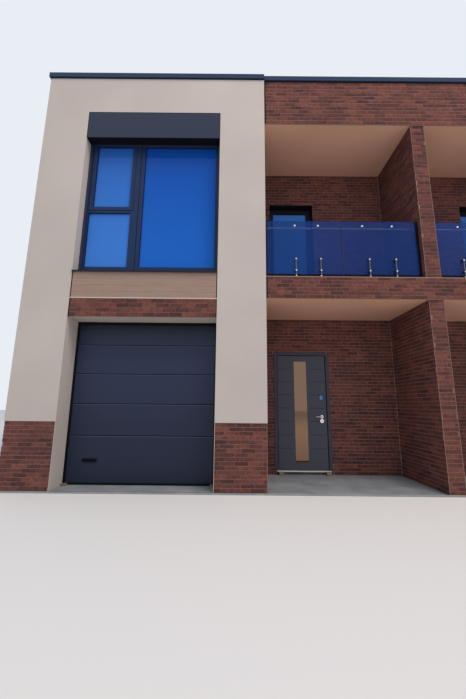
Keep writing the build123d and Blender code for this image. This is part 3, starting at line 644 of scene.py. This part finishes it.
def reveal_linings():
    """Folded sheet round the set-back balcony doors, on both jambs and the head."""
    bars = []
    for low, high in solids("balcony_door_frames"):
        back = low[1] + LINING_REACH
        bars.append(((low[0], BACK_WALL, BALCONY_FLOOR), (low[0] + LINING, back, high[2])))
        bars.append(((high[0] - LINING, BACK_WALL, BALCONY_FLOOR), (high[0], back, high[2])))
        bars.append(((low[0] + LINING, BACK_WALL, high[2] - LINING), (high[0] - LINING, back, high[2])))
    blocks("reveal_linings", bars, slot="anthracite_sheet")


def shutter_shade_strips():
    """Black strip round each shutter box's front and in the slot under it: painted shade of the gap round the
    box and of the slot. The narrow side rails get none.
    """
    bars = []
    for low, high in solids("shutter_boxes"):
        if high[0] - low[0] < LEAST_BOX:
            continue
        front = (low[1] - LAP, low[1] + LAP)
        bars.append(((low[0], front[0], high[2] - EDGE_SHADE), (high[0], front[1], high[2])))
        bars.append(((low[0], front[0], low[2]), (low[0] + EDGE_SHADE, front[1], high[2] - EDGE_SHADE)))
        bars.append(((high[0] - EDGE_SHADE, front[0], low[2]), (high[0], front[1], high[2] - EDGE_SHADE)))
        bars.append(((low[0], low[1] + SLOT_FRONT, low[2] - LINING), (high[0], high[1] - SLOT_BACK, low[2])))
    blocks("shutter_shade_strips", bars, slot="rubber")


def pull_pads():
    """The dark floor of each finger recess in the garage doors, inside its rim."""
    bars = []
    for low, high in solids("garage_door_pulls"):
        bars.append(((low[0] + PULL_END, high[1] - PULL_PAD, low[2] + PULL_RIM),
                     (high[0] - PULL_END, high[1], high[2] - PULL_RIM)))
    blocks("pull_pads", bars, slot="rubber")


def groove_painted_shade(side):
    """Dark strips of painted shade in the leaf's grooves, placed by the grooves' own corners, and painted on
    past their ends.
    """
    points = corners(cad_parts[side + "_door_leaf"].data)
    face = float(points[:, 1].min())
    bottom = points[np.abs(points[:, 1] - points[:, 1].min() - GROOVE_DEPTH) < SAME]
    across = np.unique(np.round(bottom[:, 0], 4)).reshape(-1, 2)
    up = np.unique(np.round(bottom[:, 2], 4)).reshape(-1, 2)
    y = float(bottom[0, 1])
    bars = [((x0, y - GROOVE_SHADE, z0), (x1, y, z1)) for x0, x1 in across for z0, z1 in up]
    left, right = across.min(), across.max()
    for x0, x1 in ((left - GROOVE_RUN_OUT, left), (right, right + GROOVE_RUN_OUT)):
        bars += [((x0, face - GROOVE_PAINT, z0), (x1, face + GROOVE_PAINT, z1)) for z0, z1 in up]
    blocks(side + "_groove_painted_shade", bars, body=side + "_door", slot="door_steel")


def lock_core(side):
    """The dark key core at the middle of the lower lock's disc.

    That disc is the lowest furniture on the leaf's outer face.
    """
    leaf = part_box(side + "_door_leaf")[0].y
    outer = [box for box in solids(side + "_door_furniture") if box[0][1] < leaf - LAP]
    low, high = min(outer, key=lambda box: box[0][2])
    place = ((low[0] + high[0]) / 2, low[1], (low[2] + high[2]) / 2)
    discs(side + "_lock_core", [place], LOCK_CORE_RADIUS, LAP, body=side + "_door", slot="rubber")


def door_packers():
    """The street ends of the packers under the front doors, which stand out before the frame's foot."""
    bars = []
    for low, high in solids("packing_blocks"):
        if low[1] > WALL_BACK:
            bars.append(((low[0] - PACKER_WIDER, low[1] - PACKER_PROUD, low[2]),
                         (high[0] + PACKER_WIDER, low[1] + LAP, high[2] + PACKER_TALLER)))
    blocks("door_packer_ends", bars, bevel=2 * MM, slot="packing_wood")


def lock_cover(side):
    """A drop-shaped dome over the upper lock.

    Across, the drop is half its width times the sine of the turn, times the sine of half the turn to the
    power 1.5, times its fullness. Upwards it is half its height times the cosine of the turn. It is drawn
    in rings that shrink towards the crown while they rise from the leaf.
    """
    low, high = max(solids(side + "_door_furniture"), key=lambda box: box[0][2])
    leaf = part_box(side + "_door_leaf")[0].y
    centre = (low + high) / 2
    turn = np.linspace(0, 2 * math.pi, DROP_SIDES, endpoint=False) + DROP_START
    drop_x = -DROP_WIDTH / 2 * np.sin(turn) * np.abs(np.sin(turn / 2)) ** 1.5 * DROP_FULLNESS
    drop_z = DROP_HEIGHT / 2 * np.cos(turn)
    rings = np.array([(1.0, 0.0), (1.0, 0.5), (0.9, 0.8), (0.6, 1.0), (0.2, 1.05)])
    scale, rise = rings.T[:, :, None]
    points = np.stack(np.broadcast_arrays(
        centre[0] + drop_x * scale, leaf - DROP_THICK * rise, centre[2] + drop_z * scale), axis=-1)
    faces = [face.tolist() for face in ring_faces(DROP_SIDES, len(rings))]
    new_shell(side + "_lock_cover", points.reshape(-1, 3), faces, body=side + "_door", slot="rubber")


def facade_boards():
    """Level boards over each garage door, on a backing sheet, with a narrow shadow gap between them."""
    boards, backing = [], []
    for low, high in solids("board_panels"):
        pitch = (high[2] - low[2]) / BOARD_COUNT
        for k in range(BOARD_COUNT):
            z = low[2] + k * pitch
            boards.append(((low[0], low[1], z + BOARD_GAP / 2),
                           (high[0], high[1] - BOARD_BACKING, z + pitch - BOARD_GAP / 2)))
        backing.append(((low[0], high[1] - BOARD_BACKING, low[2]), tuple(high)))
    piece = blocks("facade_boards", boards, bevel=1 * MM, slot="board")
    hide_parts("board_panels")
    blocks("board_backing", backing, slot="board")


def glazing_gaskets():
    """Rubber lines round both faces of each pane, four bars to a ring."""
    bars = []
    for low, high in solids("window_glass"):
        for front, back in ((low[1] - GASKET_PROUD, low[1]), (high[1], high[1] + GASKET_PROUD)):
            left, right, foot, head = low[0], high[0], low[2], high[2]
            bars.append(((left, front, foot), (left + GASKET, back, head)))
            bars.append(((right - GASKET, front, foot), (right, back, head)))
            bars.append(((left + GASKET, front, foot), (right - GASKET, back, foot + GASKET)))
            bars.append(((left + GASKET, front, head - GASKET), (right - GASKET, back, head)))
    blocks("glazing_gaskets", bars, slot="rubber")


def cap_joints():
    """Cover strips over the joints of the folded caps of the rear and side walls."""
    low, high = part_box("coping")
    half, proud = CAP_JOINT / 2, CAP_JOINT_PROUD
    under, top = high.z - LAP, high.z + proud
    width = WALL_BACK - STREET + CAP_OVERHANG
    bars = []
    for x in CAP_JOINTS_X:
        y0, y1 = high.y - width, high.y
        bars.append(((x - half, y0 - proud, under), (x + half, y1 + proud, top)))
        for y in (y0, y1):
            bars.append(((x - half, y - proud, low.z), (x + half, y + proud, high.z)))
    for y in CAP_JOINTS_Y:
        for x0, x1 in ((low.x, low.x + width), (high.x - width, high.x)):
            bars.append(((x0 - proud, y - half, under), (x1 + proud, y + half, top)))
            for x in (x0, x1):
                bars.append(((x - proud, y - half, low.z), (x + proud, y + half, high.z)))
    blocks("coping_joint_covers", bars, slot="anthracite_sheet")


# Materials

# The large panes of the street windows: the middle of each from the middle of the house, and half its width
LARGE_PANE_X = 3.99
LARGE_PANE_HALF = 0.65
# The heights between which the street panes pass from their paler to their deeper blue, a painted reflection
PANE_FOOT = 3.2
PANE_HEAD = 5.6
# The height that the garage doors' ramp of painted sky reflection and painted shade runs over
GARAGE_RISE = 2.5


def srgb(digits):
    """A colour written as six hex digits, turned from sRGB to linear."""
    values = np.array([int(digits[i:i + 2], 16) for i in (0, 2, 4)]) / 255
    linear = np.where(values <= 0.04045, values / 12.92, ((values + 0.055) / 1.055) ** 2.4)
    return (*linear.tolist(), 1.0)


def add(tree, kind, settings=None, inputs=None):
    """A node with its settings and inputs.

    An input is a value, or a socket to link. The stops of a ramp are a setting: places, each with hex digits.
    """
    made = tree.nodes.new(kind)
    for name, value in (settings or {}).items():
        if name == "stops":
            ramp = made.color_ramp.elements
            while len(ramp) < len(value):
                ramp.new(0.5)
            for element, (place, digits) in zip(ramp, value):
                element.position = place
                element.color = srgb(digits)
        else:
            setattr(made, name, value)
    for name, value in (inputs or {}).items():
        socket = made.inputs[name]
        if isinstance(value, bpy.types.NodeSocket):
            tree.links.new(value, socket)
        else:
            socket.default_value = value
    return made


def finish(name, **surface):
    """An empty material with its shader, its tree and the object coordinates."""
    made = bpy.data.materials.new(name)
    made.use_nodes = True
    tree = made.node_tree
    shader = tree.nodes["Principled BSDF"]
    for key, value in surface.items():
        shader.inputs[key.replace("_", " ")].default_value = value
    place = add(tree, "ShaderNodeTexCoord").outputs["Object"]
    return made, tree, shader, place


def colour_by(tree, source, shader):
    """The shader's colour taken from a socket."""
    tree.links.new(source, shader.inputs["Base Color"])


def noise(scale_mm, detail=3.0, roughness=0.55):
    """The settings of a noise whose largest features are about that wide."""
    return {"Scale": 1 / (scale_mm * MM), "Detail": detail, "Roughness": roughness}


def clouds(tree, place, pattern, stops):
    """A colour that drifts between the stops along a noise."""
    drift = add(tree, "ShaderNodeTexNoise", inputs={"Vector": place, **pattern})
    colour = add(tree, "ShaderNodeValToRGB", {"stops": stops}, {"Fac": drift.outputs["Fac"]})
    return colour.outputs["Color"]


def grain(tree, place, pattern, depth_mm, shader):
    """A noise drawn in the shader's relief, that deep."""
    height = add(tree, "ShaderNodeTexNoise", inputs={"Vector": place, **pattern}).outputs["Fac"]
    bump = add(tree, "ShaderNodeBump", inputs={"Height": height, "Distance": depth_mm * MM, "Strength": 1.0})
    tree.links.new(bump.outputs["Normal"], shader.inputs["Normal"])


def figure(tree, drawn, stops, depth_mm, shader):
    """One drawn pattern seen both in the shader's colour, along the stops, and in its relief."""
    colour = add(tree, "ShaderNodeValToRGB", {"stops": stops}, {"Fac": drawn})
    colour_by(tree, colour.outputs["Color"], shader)
    bump = add(tree, "ShaderNodeBump", inputs={"Height": drawn, "Distance": depth_mm * MM, "Strength": 1.0})
    tree.links.new(bump.outputs["Normal"], shader.inputs["Normal"])


def mineral_render(name, light, dark):
    """Scraped mineral render, painted: a grain drawn 7 mm wide, and broad faint clouds from the trowel."""
    made, tree, shader, place = finish(name, Roughness=0.92)
    colour_by(tree, clouds(tree, place, noise(1400, 4), [(0.3, dark), (0.7, light)]), shader)
    grain(tree, place, noise(7, 4, 0.7), 1.2, shader)
    return made


def clinker_slip():
    """Fired clay, wire cut: each slip has its own tone, plum to red brown, with sooty clouds and pits."""
    made, tree, shader, place = finish("clinker_slip", Roughness=0.82)
    tone = add(tree, "ShaderNodeAttribute", {"attribute_name": "tone"})
    stops = [(0.0, "522f2d"), (0.25, "643833"), (0.5, "74423a"), (0.75, "824b40"), (1.0, "5a3432")]
    body = add(tree, "ShaderNodeValToRGB", {"stops": stops}, {"Fac": tone.outputs["Fac"]})
    soot = clouds(tree, place, noise(45, 5, 0.65), [(0.32, "94857e"), (0.62, "ffffff")])
    colour = add(tree, "ShaderNodeMix", {"data_type": "RGBA", "blend_type": "MULTIPLY"},
                 {"Factor": 0.8, 6: body.outputs["Color"], 7: soot})
    colour_by(tree, colour.outputs[2], shader)
    grain(tree, place, noise(9, 5, 0.75), 1.6, shader)
    return made


def pointing_mortar():
    """Cement mortar raked back from the face: reddish beige, sandy, a little darker where it is damp."""
    made, tree, shader, place = finish("pointing_mortar", Roughness=0.95)
    colour_by(tree, clouds(tree, place, noise(300, 4), [(0.3, "866256"), (0.7, "9a7366")]), shader)
    grain(tree, place, noise(4, 4, 0.7), 0.8, shader)
    return made


def powder_coat(name, digits, roughness=0.42):
    """Polyester powder coat on sheet metal: an even colour with the faint orange peel of a sprayed finish."""
    made, tree, shader, place = finish(
        name, Roughness=roughness, Base_Color=srgb(digits), Specular_IOR_Level=0.2)
    grain(tree, place, noise(5, 2), 0.12, shader)
    drift = add(tree, "ShaderNodeTexNoise", inputs={"Vector": place, **noise(900, 3)})
    rough = add(tree, "ShaderNodeMapRange", inputs={
        "Value": drift.outputs["Fac"], "To Min": roughness - 0.06, "To Max": roughness + 0.08})
    tree.links.new(rough.outputs["Result"], shader.inputs["Roughness"])
    return made


def garage_coat_painted_light():
    """Coil-coated steel sheet, satin, with light painted in by height.

    A painted sky reflection is palest 1.8 m up and deeper towards the foot; painted shade is darkest under
    the lintel.
    """
    made, tree, shader, place = finish("garage_coat_painted_light", Roughness=0.4, Specular_IOR_Level=0.2)
    axes = add(tree, "ShaderNodeSeparateXYZ", inputs={"Vector": place})
    rise = add(tree, "ShaderNodeMath", {"operation": "DIVIDE"}, {0: axes.outputs["Z"], 1: GARAGE_RISE})
    # Stops by height: painted sky reflection up to the second section, painted shade under the lintel
    stops = [(0.0, "232a3c"), (0.35, "272e43"), (0.72, "303850"),
             (0.84, "2e354c"), (0.92, "272c3d"), (0.98, "171a25")]
    coat = add(tree, "ShaderNodeValToRGB", {"stops": stops}, {"Fac": rise.outputs["Value"]})
    colour_by(tree, coat.outputs["Color"], shader)
    grain(tree, place, noise(5, 2), 0.12, shader)
    return made


def coated_glazing():
    """Sun-control double glazing: its coating throws back blue.

    These differences are painted reflection: the large street panes are the deepest, the other panes paler,
    and the balcony doors' panes, which stand in the recess's shade, the palest, which is painted light. Apart
    from the ballony doors', they grow paler from the head of the upper storey down to its foot.
    """
    made, tree, shader, place = finish(
        "coated_glazing", Roughness=0.04, IOR=1.5, Specular_Tint=srgb("3f7fe0"))
    axes = add(tree, "ShaderNodeSeparateXYZ", inputs={"Vector": place})
    # By height: a painted reflection, paler towards the foot of the upper storey
    rise = add(tree, "ShaderNodeMapRange", inputs={
        "Value": axes.outputs["Z"], "From Min": PANE_FOOT, "From Max": PANE_HEAD}).outputs["Result"]
    large = add(tree, "ShaderNodeValToRGB", {"stops": [(0.0, "2568c4"), (1.0, "134aa4")]}, {"Fac": rise})
    narrow = add(tree, "ShaderNodeValToRGB", {"stops": [(0.0, "4482d4"), (1.0, "2c63b6")]}, {"Fac": rise})
    across = add(tree, "ShaderNodeMath", {"operation": "ABSOLUTE"}, {0: axes.outputs["X"]}).outputs["Value"]
    offset = add(tree, "ShaderNodeMath", {"operation": "SUBTRACT"}, {0: across, 1: LARGE_PANE_X})
    away = add(tree, "ShaderNodeMath", {"operation": "ABSOLUTE"}, {0: offset.outputs["Value"]})
    outside = add(tree, "ShaderNodeMath", {"operation": "GREATER_THAN"},
                  {0: away.outputs["Value"], 1: LARGE_PANE_HALF})
    rear = add(tree, "ShaderNodeMath", {"operation": "GREATER_THAN"}, {0: axes.outputs["Y"], 1: 0.0})
    other = add(tree, "ShaderNodeMath", {"operation": "MAXIMUM"},
                {0: outside.outputs["Value"], 1: rear.outputs["Value"]})
    front = add(tree, "ShaderNodeMix", {"data_type": "RGBA"},
                {"Factor": other.outputs["Value"], 6: large.outputs["Color"], 7: narrow.outputs["Color"]})
    # The balcony doors' panes stand in the recess's shade; their palest blue is painted light
    middle = add(tree, "ShaderNodeMath", {"operation": "LESS_THAN"}, {0: across, 1: -RECESS_LEFT})
    recess = add(tree, "ShaderNodeMath", {"operation": "SUBTRACT", "use_clamp": True},
                 {0: middle.outputs["Value"], 1: rear.outputs["Value"]})
    colour = add(tree, "ShaderNodeMix", {"data_type": "RGBA"},
                 {"Factor": recess.outputs["Value"], 6: front.outputs[2], 7: srgb("4f8fe4")})
    colour_by(tree, colour.outputs[2], shader)
    return made


def laminated_glass():
    """Two sheets of safety glass on a blue film: each face holds back about half of what lies behind it."""
    made, tree, shader, place = finish(
        "laminated_glass", Roughness=0.02, IOR=1.45, Alpha=0.52, Specular_Tint=srgb("4470ac"))
    colour_by(tree, clouds(tree, place, noise(1500, 1), [(0.3, "1a3978"), (0.7, "1f4084")]), shader)
    return made


def seam_sealant():
    """Silicone pressed into the seam: a blue so dark that it reads as black, with a dull skin."""
    made, tree, shader, place = finish("seam_sealant", Base_Color=srgb("060b1e"), Roughness=0.45)
    grain(tree, place, noise(20, 2), 0.2, shader)
    return made


def mirror_glazing():
    """Bronze mirror glass, float smooth, with the slight ripple of toughening; its warm tint is partly a
    painted reflection.
    """
    made, tree, shader, place = finish(
        "mirror_glazing", Base_Color=srgb("866a58"), Metallic=1.0, Roughness=0.04)
    grain(tree, place, noise(400, 1), 0.4, shader)
    return made


def stainless(name, digits, roughness):
    """Stainless steel ground with 240 grit: level lines 25 mm long, drawn 1.1 mm apart so that they show."""
    made, tree, shader, place = finish(name, Base_Color=srgb(digits), Metallic=1.0, Roughness=roughness)
    lines = add(tree, "ShaderNodeMapping", inputs={"Vector": place, "Scale": (40, 900, 900)})
    grain(tree, lines.outputs["Vector"], {"Scale": 1.0, "Detail": 2.0}, 0.05, shader)
    return made


def plain_aluminium():
    """Mill-finish aluminium: pale, with the long die lines of the extrusion, drawn 1.4 mm apart."""
    made, tree, shader, place = finish(
        "plain_aluminium", Base_Color=srgb("eee6dc"), Metallic=0.6, Roughness=0.6)
    lines = add(tree, "ShaderNodeMapping", inputs={"Vector": place, "Scale": (6, 700, 700)})
    grain(tree, lines.outputs["Vector"], {"Scale": 1.0, "Detail": 2.0}, 0.08, shader)
    return made


def black_rubber_and_painted_shade():
    """Extruded EPDM: near black and matt; the same black paints the shade of the strips in gaps and under
    ledges.
    """
    made, tree, shader, place = finish(
        "black_rubber_and_painted_shade", Base_Color=srgb("0d0d12"), Roughness=0.8, Specular_IOR_Level=0.15)
    grain(tree, place, noise(3, 2), 0.1, shader)
    return made


def raw_softwood():
    """Sawn spruce, weathered to a greyish brown, with darker year rings along the block."""
    made, tree, shader, place = finish("raw_softwood", Roughness=0.8)
    rings = add(tree, "ShaderNodeTexWave", {"wave_type": "RINGS", "rings_direction": "X"},
                {"Vector": place, "Scale": 60.0, "Distortion": 6.0, "Detail": 3.0})
    figure(tree, rings.outputs["Fac"], [(0.2, "715f52"), (0.8, "98836f")], 0.4, shader)
    return made


def timber_look_board():
    """Cement board with an embossed oak grain: lines along each board, drawn 9 mm apart so that they show."""
    made, tree, shader, place = finish("timber_look_board", Roughness=0.75)
    lines = add(tree, "ShaderNodeMapping", inputs={"Vector": place, "Scale": (2.5, 110, 110)})
    oak = add(tree, "ShaderNodeTexNoise",
              inputs={"Vector": lines.outputs["Vector"], "Scale": 1.0, "Detail": 6.0, "Roughness": 0.6})
    figure(tree, oak.outputs["Fac"], [(0.3, "927668"), (0.5, "9b8173"), (0.72, "a68c7d")], 0.4, shader)
    return made


def slab_concrete(name, dark, light):
    """Floated concrete: cool grey, with the cloudy patches of uneven curing."""
    made, tree, shader, place = finish(name, Roughness=0.85)
    colour_by(tree, clouds(tree, place, noise(350, 6, 0.6), [(0.3, dark), (0.7, light)]), shader)
    grain(tree, place, noise(6, 4, 0.7), 0.5, shader)
    return made


def roof_felt():
    """Mineral felt in one-metre strips: dark grey chippings with a lap line at each strip's edge."""
    made, tree, shader, place = finish("roof_felt", Roughness=0.9)
    axes = add(tree, "ShaderNodeSeparateXYZ", inputs={"Vector": place})
    strip = add(tree, "ShaderNodeMath", {"operation": "FRACT"}, {0: axes.outputs["X"]})
    lap = add(tree, "ShaderNodeValToRGB", {"stops": [(0.0, "2a2b2e"), (0.02, "505257"), (1.0, "4a4c50")]},
              {"Fac": strip.outputs["Value"]})
    colour_by(tree, lap.outputs["Color"], shader)
    grain(tree, place, noise(8, 3, 0.7), 1.0, shader)
    return made


def protective_film():
    """Thin blue polythene, left on the upper lock's cover."""
    made, tree, shader, place = finish(
        "protective_film", Base_Color=srgb("2f8fce"), Roughness=0.3, Coat_Weight=0.4)
    grain(tree, place, noise(12, 3), 0.5, shader)
    return made


def dress(material, *names):
    """Give pieces or CAD nodes their material."""
    for name in names:
        piece = bpy.data.objects[name]
        piece.data.materials.clear()
        piece.data.materials.append(material)


# Building the pieces

beds, slips = brickwork()
corner_beads()
facade_boards()
glazing_gaskets()
cap_joints()
slab_nosings()
reveal_linings()
shutter_shade_strips()
pull_pads()
board_beads()
shadow_gaps()
garage_seals_and_shade()
coping_painted_shadow()
section_joints()
glass_channels()
glass_seams()
band_nosing()
clamp_caps()
door_packers()
for side in ("left", "right"):
    groove_painted_shade(side)
    lock_cover(side)
    lock_core(side)

# Dressing them

dress(pointing_mortar(), *[bed.name for bed in beds])
dress(clinker_slip(), *[slip.name for slip in slips])
dress(mineral_render("mineral_render", "c6bbb2", "bcb1a9"), "portal_piers", "portal_lintels", "side_walls",
      "rear_wall_piers", "rear_wall_infills", "spandrel_beam", "party_wall")
dress(mineral_render("bead_render", "a08274", "96796c"), "corner_beads", "band_nosing")
# The ceilings' warm beige is painted light: warm light bounced up from the ground, on pale render
dress(mineral_render("soffit_painted_bounce_light", "e6b296", "dca88b"), "recess_ceilings")
dress(slab_concrete("slab_concrete", "74797f", "929698"), "ground_slabs", "floor_slabs", "balcony_slab")
dress(slab_concrete("edging_concrete", "878988", "9d9e99"), "slab_nosings")
dress(roof_felt(), "roof_slab")
dress(timber_look_board(), "facade_boards", "board_backing")
dress(powder_coat("anthracite_sheet", "303649"), "shutter_boxes")
dress(powder_coat("sill_sheet", "1d1f29"), "window_sills")
dress(powder_coat("cap_sheet", "25354f"), "coping", "coping_joint_covers")
# The frames' blue is partly a painted sky reflection on anthracite profiles
dress(powder_coat("anthracite_profile_painted_sky", "1d2f52", 0.38), "window_frames", "rear_window_frames")
dress(powder_coat("door_profile", "1b1a20", 0.5), "reveal_linings", "balcony_door_frames")
dress(garage_coat_painted_light(), "garage_door_sections")
dress(powder_coat("painted_highlight_coat", "4a5166", 0.4), "section_painted_highlights")
dress(powder_coat("frame_steel", "46434d", 0.45), "front_door_frames")
dress(powder_coat("door_steel", "4d4f5a", 0.45), "left_door_leaf", "right_door_leaf")
dress(powder_coat("painted_groove_shade", "1f2027", 0.5), "left_groove_painted_shade", "right_groove_painted_shade")
dress(protective_film(), "left_lock_cover", "right_lock_cover")
dress(coated_glazing(), "window_glass")
dress(laminated_glass(), "balustrade_glass")
dress(mirror_glazing(), "left_door_glazing", "right_door_glazing")
# Tones of one stainless steel: the posts darkened, which is painted shade; the rail paler, which is painted
# light
dress(stainless("stainless_painted_shade", "707276", 0.4), "balustrade_posts")
dress(stainless("polished_stainless", "ecebe8", 0.2), "clamp_caps", "glass_buttons",
      "left_door_furniture", "right_door_furniture")
dress(stainless("stainless_painted_light", "f0efec", 0.5), "handrails")
dress(stainless("satin_stainless", "9c8f89", 0.35), "left_door_lever", "right_door_lever")
dress(plain_aluminium(), "door_thresholds")
dress(seam_sealant(), "glass_seams")
dress(powder_coat("pull_coat", "191b28", 0.4), "garage_door_pulls")
dress(black_rubber_and_painted_shade(), "garage_door_seals", "glazing_gaskets", "shutter_shade_strips", "pull_pads", "shadow_gap_painted_shade",
      "coping_painted_shadow", "section_lips", "garage_lip_seals_and_shade", "glass_channels", "glass_foot_painted_shade",
      "left_lock_core", "right_lock_core")
dress(powder_coat("bead_coat", "cebfb0", 0.5), "board_beads")
dress(raw_softwood(), "packing_blocks", "door_packer_ends")


# Stage, light and camera

def pale_floor():
    """A level disc of pale matt board, far wider than the house."""
    turn = np.linspace(0, 2 * math.pi, FLOOR_SIDES, endpoint=False)
    points = np.stack([FLOOR_RADIUS * np.cos(turn), FLOOR_RADIUS * np.sin(turn), 0 * turn - LAP], axis=-1)
    mesh = bpy.data.meshes.new("pale_floor")
    mesh.from_pydata(points.tolist(), [], [list(range(FLOOR_SIDES))])
    mesh.materials.append(finish("pale_board", Base_Color=srgb("e3e1de"), Roughness=0.9)[0])
    show("pale_floor", mesh)


def studio_world():
    """Even soft light; rays from the camera, and through or off gloss, see a pale backdrop."""
    world = bpy.data.worlds.new("studio")
    bpy.context.scene.world = world
    world.use_nodes = True
    tree = world.node_tree
    tree.nodes.clear()
    rays = add(tree, "ShaderNodeLightPath")
    seen = add(tree, "ShaderNodeMath", {"operation": "MAXIMUM"},
               {0: rays.outputs["Is Camera Ray"], 1: rays.outputs["Is Glossy Ray"]})
    seen = add(tree, "ShaderNodeMath", {"operation": "MAXIMUM"},
               {0: seen.outputs["Value"], 1: rays.outputs["Is Transmission Ray"]})
    light = add(tree, "ShaderNodeBackground", inputs={"Color": srgb("e6edfb"), "Strength": 0.8})
    backdrop = add(tree, "ShaderNodeBackground", inputs={"Color": srgb("e9eef5"), "Strength": 1.0})
    mixed = add(tree, "ShaderNodeMixShader", inputs={
        0: seen.outputs["Value"], 1: light.outputs["Background"], 2: backdrop.outputs["Background"]})
    add(tree, "ShaderNodeOutputWorld", inputs={"Surface": mixed.outputs["Shader"]})


def soft_key():
    """One large soft lamp, high over the right of the street, left out of all reflections."""
    lamp = bpy.data.lights.new("soft_key", "AREA")
    lamp.shape = "DISK"
    lamp.size = KEY_WIDTH
    lamp.energy = KEY_WATTS
    lamp.color = srgb("fff4ea")[:3]
    key = show("soft_key", lamp)
    key.location = KEY_PLACE
    towards = Vector(KEY_TARGET) - key.location
    key.rotation_mode = "QUATERNION"
    key.rotation_quaternion = towards.to_track_quat("-Z", "Y")
    key.visible_glossy = False


def street_camera():
    """The camera at the photograph's viewing point: pitch, then roll about the line of sight."""
    ahead = Vector((math.sin(CAMERA_YAW) * math.cos(CAMERA_PITCH),
                    math.cos(CAMERA_YAW) * math.cos(CAMERA_PITCH), math.sin(CAMERA_PITCH)))
    level = Vector((math.cos(CAMERA_YAW), -math.sin(CAMERA_YAW), 0))
    upright = level.cross(ahead)
    right = level * math.cos(CAMERA_ROLL) + upright * math.sin(CAMERA_ROLL)
    top = upright * math.cos(CAMERA_ROLL) - level * math.sin(CAMERA_ROLL)
    data = bpy.data.cameras.new("street_camera")
    data.sensor_width = SENSOR_MM
    data.lens = FOCAL_PIXELS / PHOTO_HEIGHT * SENSOR_MM
    camera = show("street_camera", data)
    camera.matrix_world = Matrix((
        (right.x, top.x, -ahead.x, CAMERA_PLACE[0]),
        (right.y, top.y, -ahead.y, CAMERA_PLACE[1]),
        (right.z, top.z, -ahead.z, CAMERA_PLACE[2]),
        (0, 0, 0, 1),
    ))
    bpy.context.scene.camera = camera


pale_floor()
studio_world()
soft_key()
street_camera()
bpy.context.scene.view_settings.view_transform = "Standard"
